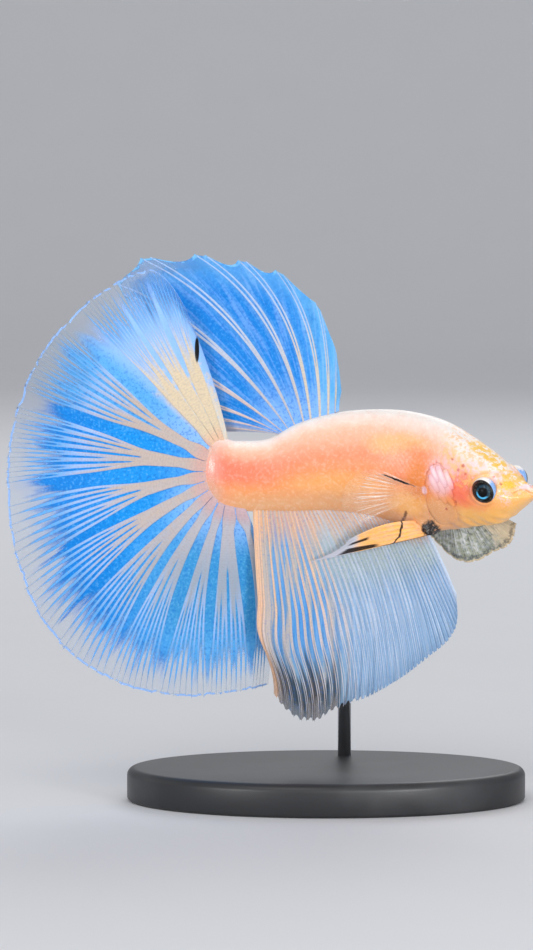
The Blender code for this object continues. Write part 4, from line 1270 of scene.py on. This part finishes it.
def anal_finish():
    work = open_fin("anal_fin")
    along, across, tone = work.along, work.across, work.tone
    wander = across + 0.16 * (work.lane - 0.5) - 0.10 * along
    rear = work.rise(wander, 0.40, 0.20)
    ray = work.layers(
        "frost",
        ("tan", 0.10 + 0.80 * rear),
        ("peach", 0.65 * rear * work.rise(tone, 0.55, 0.75)),
        ("orange", 0.60 * rear * work.rise(tone, 0.88, 0.93) * work.rise(along, 0.80, 0.45)),
        ("frost", 0.55 * work.rise(along + 0.2 * (tone - 0.5), 0.45, 0.80)),
    )
    vivid = rear * work.rise(across, 0.06, 0.11) * work.rise(along, 0.85, 0.55)
    vivid = vivid * work.rise(work.lane, 0.40, 0.56)
    low = work.rise(along + 0.3 * (work.lane - 0.5), 0.30, 0.55) * (1 - rear)
    # Painted shade: brown black low in the rear of the fin, in the deep folds of its curled pleats.
    painted_fold_shade = work.rise(along + 0.30 * (work.lane - 0.5) + 0.12 * (tone - 0.5), 0.72, 0.80)
    web = work.layers(
        "mist",
        ("azure", 0.62 * vivid),
        ("tan", 0.65 * rear * work.rise(work.lane, 0.50, 0.38)),
        ("tan", 0.80 * work.rise(across, 0.10, 0.05)),
        ("lilac", 0.28 * low),
        ("sage", 0.75 * work.rise(along + 0.3 * (work.lane - 0.5), 0.50, 0.22) * (1 - 0.8 * rear)),
        ("belly", 0.65 * work.rise(along + 0.25 * (work.lane - 0.5), 0.20, 0.02)),
        ("soot", 0.72 * work.rise(wander, 0.30, 0.20) * painted_fold_shade),
        ("deep", 0.25 * work.rise(work.fleck, 0.48, 0.36) * (1 - 0.5 * low)),
    )
    ray = work.blend(ray, web, (0.75 * (1 - tone)) * work.rise(wander, 0.20, 0.40))
    web = work.blend(web, "frost", 0.30 * work.rise(work.lane, 0.50, 0.64) * (1 - rear))
    colour = work.layers(
        web,
        (ray, 0.9 * work.bone),
        ("frost", 0.8 * work.rise(across, 0.965, 0.985)),
        ("peach", 0.6 * work.rise(across, 0.045, 0.015)),
    )
    clear = work.rise(along + 0.1 * (tone - 0.5), 0.86, 0.97) * (1 - work.bone)
    return close_fin(work, colour, 1 - 0.45 * clear * (0.35 + 0.65 * rear))


def near_pectoral_finish():
    work = open_fin("pectoral_fin_right")
    along = work.along
    off = work.maths("ABSOLUTE", work.across - 0.905 + 0.07 * (work.streak - 0.5))
    thick = 0.016 * work.rise(along, 0.12, 0.24) * work.rise(along, 0.56, 0.40)
    black = work.rise(off - thick, 0.020, 0.011) * work.rise(along, 0.02, 0.06) * work.rise(along, 0.76, 0.66)
    rays_shown = work.bone * work.rise(along, 0.96, 0.70) * work.rise(along, 0.26, 0.62)
    rays_shown = rays_shown * (0.12 + 0.48 * work.rise(work.tone, 0.35, 0.9))
    alpha = work.maths("MAXIMUM", 0.03 + rays_shown, black)
    return close_fin(work, work.blend("back", "soot", black), alpha)


def far_pectoral_finish():
    work = open_fin("pectoral_fin_left")
    crumple = work.noise(work.vector("MULTIPLY", work.place, (1, 0, 1)), 1.5, 4.0)
    burnt = work.spot(work.place, (33.0, 5.5, -5.5), (1.6, 3.0, 2.6), 0.4) * work.rise(work.fleck, 0.35, 0.5)
    margin = work.rise(work.along + 0.05 * (work.fleck - 0.5), 0.90, 0.95)
    colour = work.layers(
        "smoke",
        ("clear", 0.55 * work.rise(work.fleck, 0.45, 0.62)),
        ("paper", 0.60 * work.rise(crumple, 0.50, 0.64)),
        ("soot", 0.50 * work.rise(crumple, 0.46, 0.36)),
        ("paper", 0.45 * work.bone * work.rise(work.streak, 0.35, 0.55)),
        ("cream", 0.85 * work.rise(work.across + 0.4 * (crumple - 0.5), 0.62, 0.78)),
        ("soot", burnt),
        ("soot", 0.55 * margin * work.rise(work.fleck, 0.40, 0.55)),
        ("cream", work.rise(work.along, 0.972, 0.985)),
    )
    return close_fin(work, colour, 0.80 + 0.15 * work.bone)


def pelvic_finish(name):
    work = open_fin(name)
    along, across = work.along, work.across
    front = work.rise(across + 0.6 * (along - 0.76), 0.66, 0.73) * work.rise(across, 0.99, 0.95)
    front = front * work.rise(along, 0.55, 0.62) * work.rise(along, 0.88, 0.83)
    upper = work.rise(across, 0.28, 0.34) * work.rise(across, 0.48, 0.42)
    upper = upper * work.rise(along, 0.66, 0.72) * work.rise(along, 0.92, 0.86)
    # A thin dark line along a fold is painted shade in the crease; front and upper are the fin's own black
    # marks.
    fold = along - 0.13 - 0.33 * across + 0.06 * (work.streak - 0.5)
    painted_crease_shade = work.rise(fold, -0.018, -0.008) * work.rise(fold, 0.018, 0.008)
    black = work.maths("MAXIMUM", work.maths("MAXIMUM", front, upper), painted_crease_shade)
    burnt = work.rise(along + 0.12 * (work.fleck - 0.5), 0.13, 0.06) * work.rise(across, 0.70, 0.85)
    colour = work.layers(
        "orange",
        ("peach", 0.3 * work.bone + 0.6 * work.rise(work.streak, 0.4, 0.6)),
        ("belly", 0.4 * work.rise(along, 0.2, 0.0)),
        ("frost", 0.85 * work.rise(along + 0.10 * across, 0.80, 0.90)),
        ("soot", 0.97 * black),
        ("soot", 0.8 * work.rise(across, 0.95, 0.985) * work.rise(along, 0.62, 0.5)),
        ("soot", burnt),
    )
    return close_fin(work, colour, 1 - 0.25 * work.rise(along, 0.8, 1.0))


# ---------------------------------------------------------------- stand and stage


def base_finish():
    work = Finish("stand_base")
    place = work.object_place()
    grain = work.noise(place, 1400.0, 3.0)
    patch = work.noise(place, 70.0, 3.0)
    colour = work.blend("base", "steel", 0.05 * work.rise(patch, 0.45, 0.75))
    return work.done(
        Base_Color=colour, Roughness=0.36 + 0.16 * patch, Normal=work.bump(grain, 0.00003, 0.35),
        Coat_Weight=0.15, Coat_Roughness=0.3,
    )


def rod_finish():
    work = Finish("stand_rod")
    place = work.object_place()
    brushed = work.noise(work.vector("MULTIPLY", place, (1, 1, 0.03)), 9000.0, 3.0)
    patch = work.noise(place, 160.0, 2.0)
    colour = work.blend("steel", "base", 0.22 * work.rise(patch, 0.5, 0.8))
    return work.done(
        Base_Color=colour, Metallic=1.0, Roughness=0.26 + 0.18 * brushed,
        Normal=work.bump(brushed, 0.00001, 0.4),
    )


def turned(name, rings, finish):
    """A closed piece from rings of points in millimetres, each end closed by a fan from its middle."""
    rings = np.asarray(rings, float)
    rows, columns = rings.shape[:2]
    flat = np.concatenate([rings.reshape(-1, 3), [rings[0].mean(0)], [rings[-1].mean(0)]])
    _, quads, ends = tube_faces(rows, columns)
    return make_piece(name, flat * MM, [quads, ends], finish)


def oval_base(finish):
    """The stand's plate: ovals one above another, drawn in at the foot and by a quarter turn at the top."""
    turn = np.linspace(0, TURN, 160, endpoint=False)
    curve = np.linspace(0, math.pi / 2, 9)
    inset = np.concatenate([[0.5, 0.1, 0.0], BASE_ROUNDING * (1 - np.cos(curve)), [1.6]])[:, None]
    rounded = BASE_HEIGHT - BASE_ROUNDING * (1 - np.sin(curve))
    height = np.concatenate([[0.0, 0.3, 0.5], rounded, [BASE_HEIGHT]])[:, None]
    rings = np.stack([
        (BASE_LENGTH / 2 - inset) * np.cos(turn),
        (BASE_WIDTH / 2 - inset) * np.sin(turn),
        height + 0 * turn,
    ], axis=-1)
    return turned("display_base", rings, finish)


def bent_rod(finish):
    """The stand's rod: circles up from the plate, round a quarter bend and into the fish's left side."""
    tilt = np.linspace(0, math.pi / 2, 17)
    y = np.concatenate([[ROD_FOOT[1]], ROD_FOOT[1] - ROD_TURN_RADIUS * (1 - np.cos(tilt)), [ROD_TIP_Y]])
    z = np.concatenate([[BASE_HEIGHT - 0.2], ROD_HEIGHT - ROD_TURN_RADIUS * (1 - np.sin(tilt)), [ROD_HEIGHT]])
    tilt = np.concatenate([[0], tilt, [math.pi / 2]])[:, None]
    around = np.linspace(0, TURN, 32, endpoint=False)[None, :]
    rings = np.stack([
        ROD_FOOT[0] + ROD_RADIUS * np.cos(around) + 0 * tilt,
        y[:, None] + ROD_RADIUS * np.sin(around) * np.cos(tilt),
        z[:, None] + ROD_RADIUS * np.sin(around) * np.sin(tilt),
    ], axis=-1)
    return turned("display_rod", rings, finish)


def backdrop():
    """A bowl of paper: a flat round floor that curves up into a low wall, as a profile turned about Z."""
    curve = np.linspace(0, math.pi / 2, 13)
    radius = np.concatenate([[0.02, 0.3, 0.8], FLOOR_RADIUS + FLOOR_CURVE * np.sin(curve)])
    height = np.concatenate([[0, 0, 0], FLOOR_CURVE * (1 - np.cos(curve))])
    turn = np.arange(FLOOR_SECTORS) / FLOOR_SECTORS * TURN
    ring = np.stack([np.cos(turn), np.sin(turn), 0 * turn], axis=-1)
    points = ring[None] * radius[:, None, None] + np.array([0, 0, 1]) * height[:, None, None]
    flat = np.concatenate([points.reshape(-1, 3), [(0, 0, 0)]])
    _, quads, _ = tube_faces(len(radius), FLOOR_SECTORS)
    j = np.arange(FLOOR_SECTORS)
    middle = np.stack([(j + 1) % FLOOR_SECTORS, 0 * j + len(flat) - 1, j], axis=-1)
    work = Finish("backdrop")
    place = work.object_place()
    paper = work.blend("paper", (0.62, 0.62, 0.64, 1), 0.12 * work.noise(place, 30.0, 3.0))
    finish = work.done(Base_Color=paper, Roughness=0.85)
    return make_piece("backdrop", flat, [quads[:, ::-1], middle], finish, closed=False)


def lamp(name, place, target, size, power, tone=(1.0, 1.0, 1.0)):
    light = bpy.data.lights.new(name, "AREA")
    light.shape = "DISK"
    light.size = size
    light.energy = power
    light.color = tone
    made = bpy.data.objects.new(name, light)
    aim = np.array(target) - np.array(place)
    flat = math.hypot(aim[0], aim[1])
    made.location = place
    made.rotation_euler = (math.atan2(flat, -aim[2]), 0, math.atan2(-aim[0], aim[1]))
    made.visible_camera = False
    bpy.context.scene.collection.objects.link(made)


def camera():
    """A long lens in front of the fish and a little above it, aimed down at the middle of the picture."""
    lens = bpy.data.cameras.new("camera")
    lens.lens = CAMERA_LENS
    lens.sensor_width = 36
    lens.clip_start = 0.01
    made = bpy.data.objects.new("camera", lens)
    away, up = CAMERA_DISTANCE * math.cos(CAMERA_RISE), CAMERA_DISTANCE * math.sin(CAMERA_RISE)
    made.location = (CAMERA_AIM[0], -away, CAMERA_AIM[1] + up)
    made.rotation_euler = (math.pi / 2 - CAMERA_RISE, 0, 0)
    bpy.context.scene.collection.objects.link(made)
    bpy.context.scene.camera = made


# ---------------------------------------------------------------- operators


def place_piece(piece, slot, *nodes):
    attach(piece, "root")
    if nodes:
        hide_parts(*nodes)


class BETTA_OT_skin(bpy.types.Operator):
    """Build the skin of the body and head"""

    bl_idname = "betta.skin"
    bl_label = "Skin"

    def execute(self, context):
        nodes = ("head", "lower_jaw", "trunk", "tail_stem", "gill_cover_right", "gill_cover_left")
        place_piece(fish_skin(skin_finish()), "skin", *nodes)
        return {"FINISHED"}


class BETTA_OT_scales(bpy.types.Operator):
    """Lay the scales over both sides and both gill covers"""

    bl_idname = "betta.scales"
    bl_label = "Scales"

    def execute(self, context):
        plain, pearly = scale_finish("scales", False), scale_finish("gill_scales", True)
        for side, name in ((-1, "right"), (1, "left")):
            place_piece(body_scales(side, f"scales_{name}", plain), "skin")
            place_piece(gill_scales(side, f"gill_scales_{name}", pearly), "gill_cover")
        return {"FINISHED"}


class BETTA_OT_eyes(bpy.types.Operator):
    """Set both eyes in the head"""

    bl_idname = "betta.eyes"
    bl_label = "Eyes"

    def execute(self, context):
        finish = eye_finish()
        for side, name in ((-1, "right"), (1, "left")):
            place_piece(eyeball(side, f"eyeball_{name}", finish), "eye", f"eye_{name}")
        return {"FINISHED"}


class BETTA_OT_middle_fins(bpy.types.Operator):
    """Build the back, tail and belly fins"""

    bl_idname = "betta.middle_fins"
    bl_label = "Back, tail and belly fins"

    def execute(self, context):
        tail = fin(
            "tail_fin_rays", caudal_surface, CAUDAL_RAYS, caudal_finish(), rows=80,
            splits=(0.28, 0.35, 0.43, 0.66), bare=0.60, flare=1.0, span=(14, 103), grow=(0.28, 0.60),
            taper=(0.78, 1.0, 0.78), tip_notch=0.010, gap_notch=0.016, uneven=0.020, ripple=0.10, swell=0.30,
        )
        place_piece(tail, "caudal_fin", "caudal_fin")
        dorsal = fin(
            "back_fin_rays", dorsal_surface, DORSAL_RAYS, dorsal_finish(), rows=60, splits=(0.24,),
            bare=0.74, span=(12, 74), grow=(0.02, 0.30), taper=(0.60, 1.0, 0.50), drift=2.6,
            tip_notch=0.012, gap_notch=0.055, ripple=0.12,
        )
        place_piece(dorsal, "dorsal_fin", "dorsal_fin")
        anal_rays = even_rays(44, 2, stem=0.55)
        anal_rays[:, 1] += 0.125 * hump(anal_rays[:, 0] - 0.32, 0.26) * ramp(anal_rays[:, 0], 0.0, 0.12)
        anal = fin(
            "belly_fin_rays", anal_surface, anal_rays, anal_finish(), rows=72, splits=(0.50,),
            bare=0.55, span=(26, 46), grow=(0.40, 0.80), tip_notch=0.010, gap_notch=0.024, ripple=0.10,
        )
        place_piece(anal, "anal_fin", "anal_fin")
        return {"FINISHED"}


class BETTA_OT_paired_fins(bpy.types.Operator):
    """Build the side fins and the fins under the breast"""

    bl_idname = "betta.paired_fins"
    bl_label = "Paired fins"

    def execute(self, context):
        for side, name, finish in ((-1, "right", near_pectoral_finish()), (1, "left", far_pectoral_finish())):
            pectoral = fin(
                f"pectoral_{name}_rays", pectoral_surface(side), even_rays(12, 4, stem=0.55), finish, rows=40,
                splits=(0.40, 0.65), bare=0.30, span=(2.2, 12), start=-0.10, ripple=0.05, swell=0.1,
            )
            place_piece(pectoral, "pectoral_fin", f"pectoral_fin_{name}")
            pelvic = fin(
                f"pelvic_{name}_rays", pelvic_surface(side), even_rays(5, 2, stem=0.6),
                pelvic_finish(f"pelvic_fin_{name}"),
                rows=48, splits=(0.35,), bare=0.40, span=(3.2, 6), start=-0.06, tip_notch=0.01,
                gap_notch=0.03, ripple=0.05, swell=0.25,
            )
            place_piece(pelvic, "pelvic_fin", f"pelvic_fin_{name}")
        return {"FINISHED"}


class BETTA_OT_stand(bpy.types.Operator):
    """Build the stand's base and rod"""

    bl_idname = "betta.stand"
    bl_label = "Stand"

    def execute(self, context):
        place_piece(oval_base(base_finish()), "stand_base", "stand_base")
        place_piece(bent_rod(rod_finish()), "stand_rod", "stand_rod")
        return {"FINISHED"}


class BETTA_OT_stage(bpy.types.Operator):
    """Set up the backdrop, the lights and the camera"""

    bl_idname = "betta.stage"
    bl_label = "Stage"

    def execute(self, context):
        scene = context.scene
        backdrop()
        scene.view_settings.view_transform = "Standard"
        world = bpy.data.worlds.new("studio")
        world.use_nodes = True
        background = world.node_tree.nodes["Background"]
        background.inputs["Color"].default_value = (0.95, 0.96, 1.0, 1)
        background.inputs["Strength"].default_value = SKY_LIGHT
        scene.world = world
        fish = (0.0, 0.0, 0.05)
        lamp("key", (-0.25, -0.75, 0.85), fish, 0.55, 2.05, (1.0, 0.98, 0.94))
        lamp("front", (0.12, -0.85, 0.20), fish, 0.30, 0.8)
        lamp("low left", (-0.42, -0.58, 0.08), fish, 0.16, 1.25)
        lamp("low right", (0.34, -0.55, 0.08), fish, 0.16, 1.8)
        lamp("rear", (0.15, 0.80, 0.70), fish, 0.60, 2.2, (0.95, 0.98, 1.0))
        lamp("left", (-0.80, 0.10, 0.35), fish, 0.60, 0.4)
        camera()
        return {"FINISHED"}


class BETTA_PT_sidebar(bpy.types.Panel):
    """Settings and steps of the betta fish"""

    bl_idname = "BETTA_PT_sidebar"
    bl_label = "Betta Fish"
    bl_space_type = "VIEW_3D"
    bl_region_type = "UI"
    bl_category = "Betta"

    def draw(self, context):
        for group in (context.scene.betta_sizes, context.scene.betta_colours):
            column = self.layout.column()
            for setting in type(group).__annotations__:
                column.prop(group, setting)
        for step in STEPS:
            self.layout.operator(step.bl_idname)


STEPS = (
    BETTA_OT_skin,
    BETTA_OT_scales,
    BETTA_OT_eyes,
    BETTA_OT_middle_fins,
    BETTA_OT_paired_fins,
    BETTA_OT_stand,
    BETTA_OT_stage,
)
CLASSES = (BettaSizes, BettaColours, *STEPS, BETTA_PT_sidebar)


def register():
    for cls in CLASSES:
        bpy.utils.register_class(cls)
    bpy.types.Scene.betta_sizes = PointerProperty(type=BettaSizes)
    bpy.types.Scene.betta_colours = PointerProperty(type=BettaColours)


def unregister():
    del bpy.types.Scene.betta_colours
    del bpy.types.Scene.betta_sizes
    for cls in reversed(CLASSES):
        bpy.utils.unregister_class(cls)


def main():
    register()
    bpy.ops.betta.skin()
    bpy.ops.betta.scales()
    bpy.ops.betta.eyes()
    bpy.ops.betta.middle_fins()
    bpy.ops.betta.paired_fins()
    bpy.ops.betta.stand()
    bpy.ops.betta.stage()


if __name__ == "__main__":
    main()
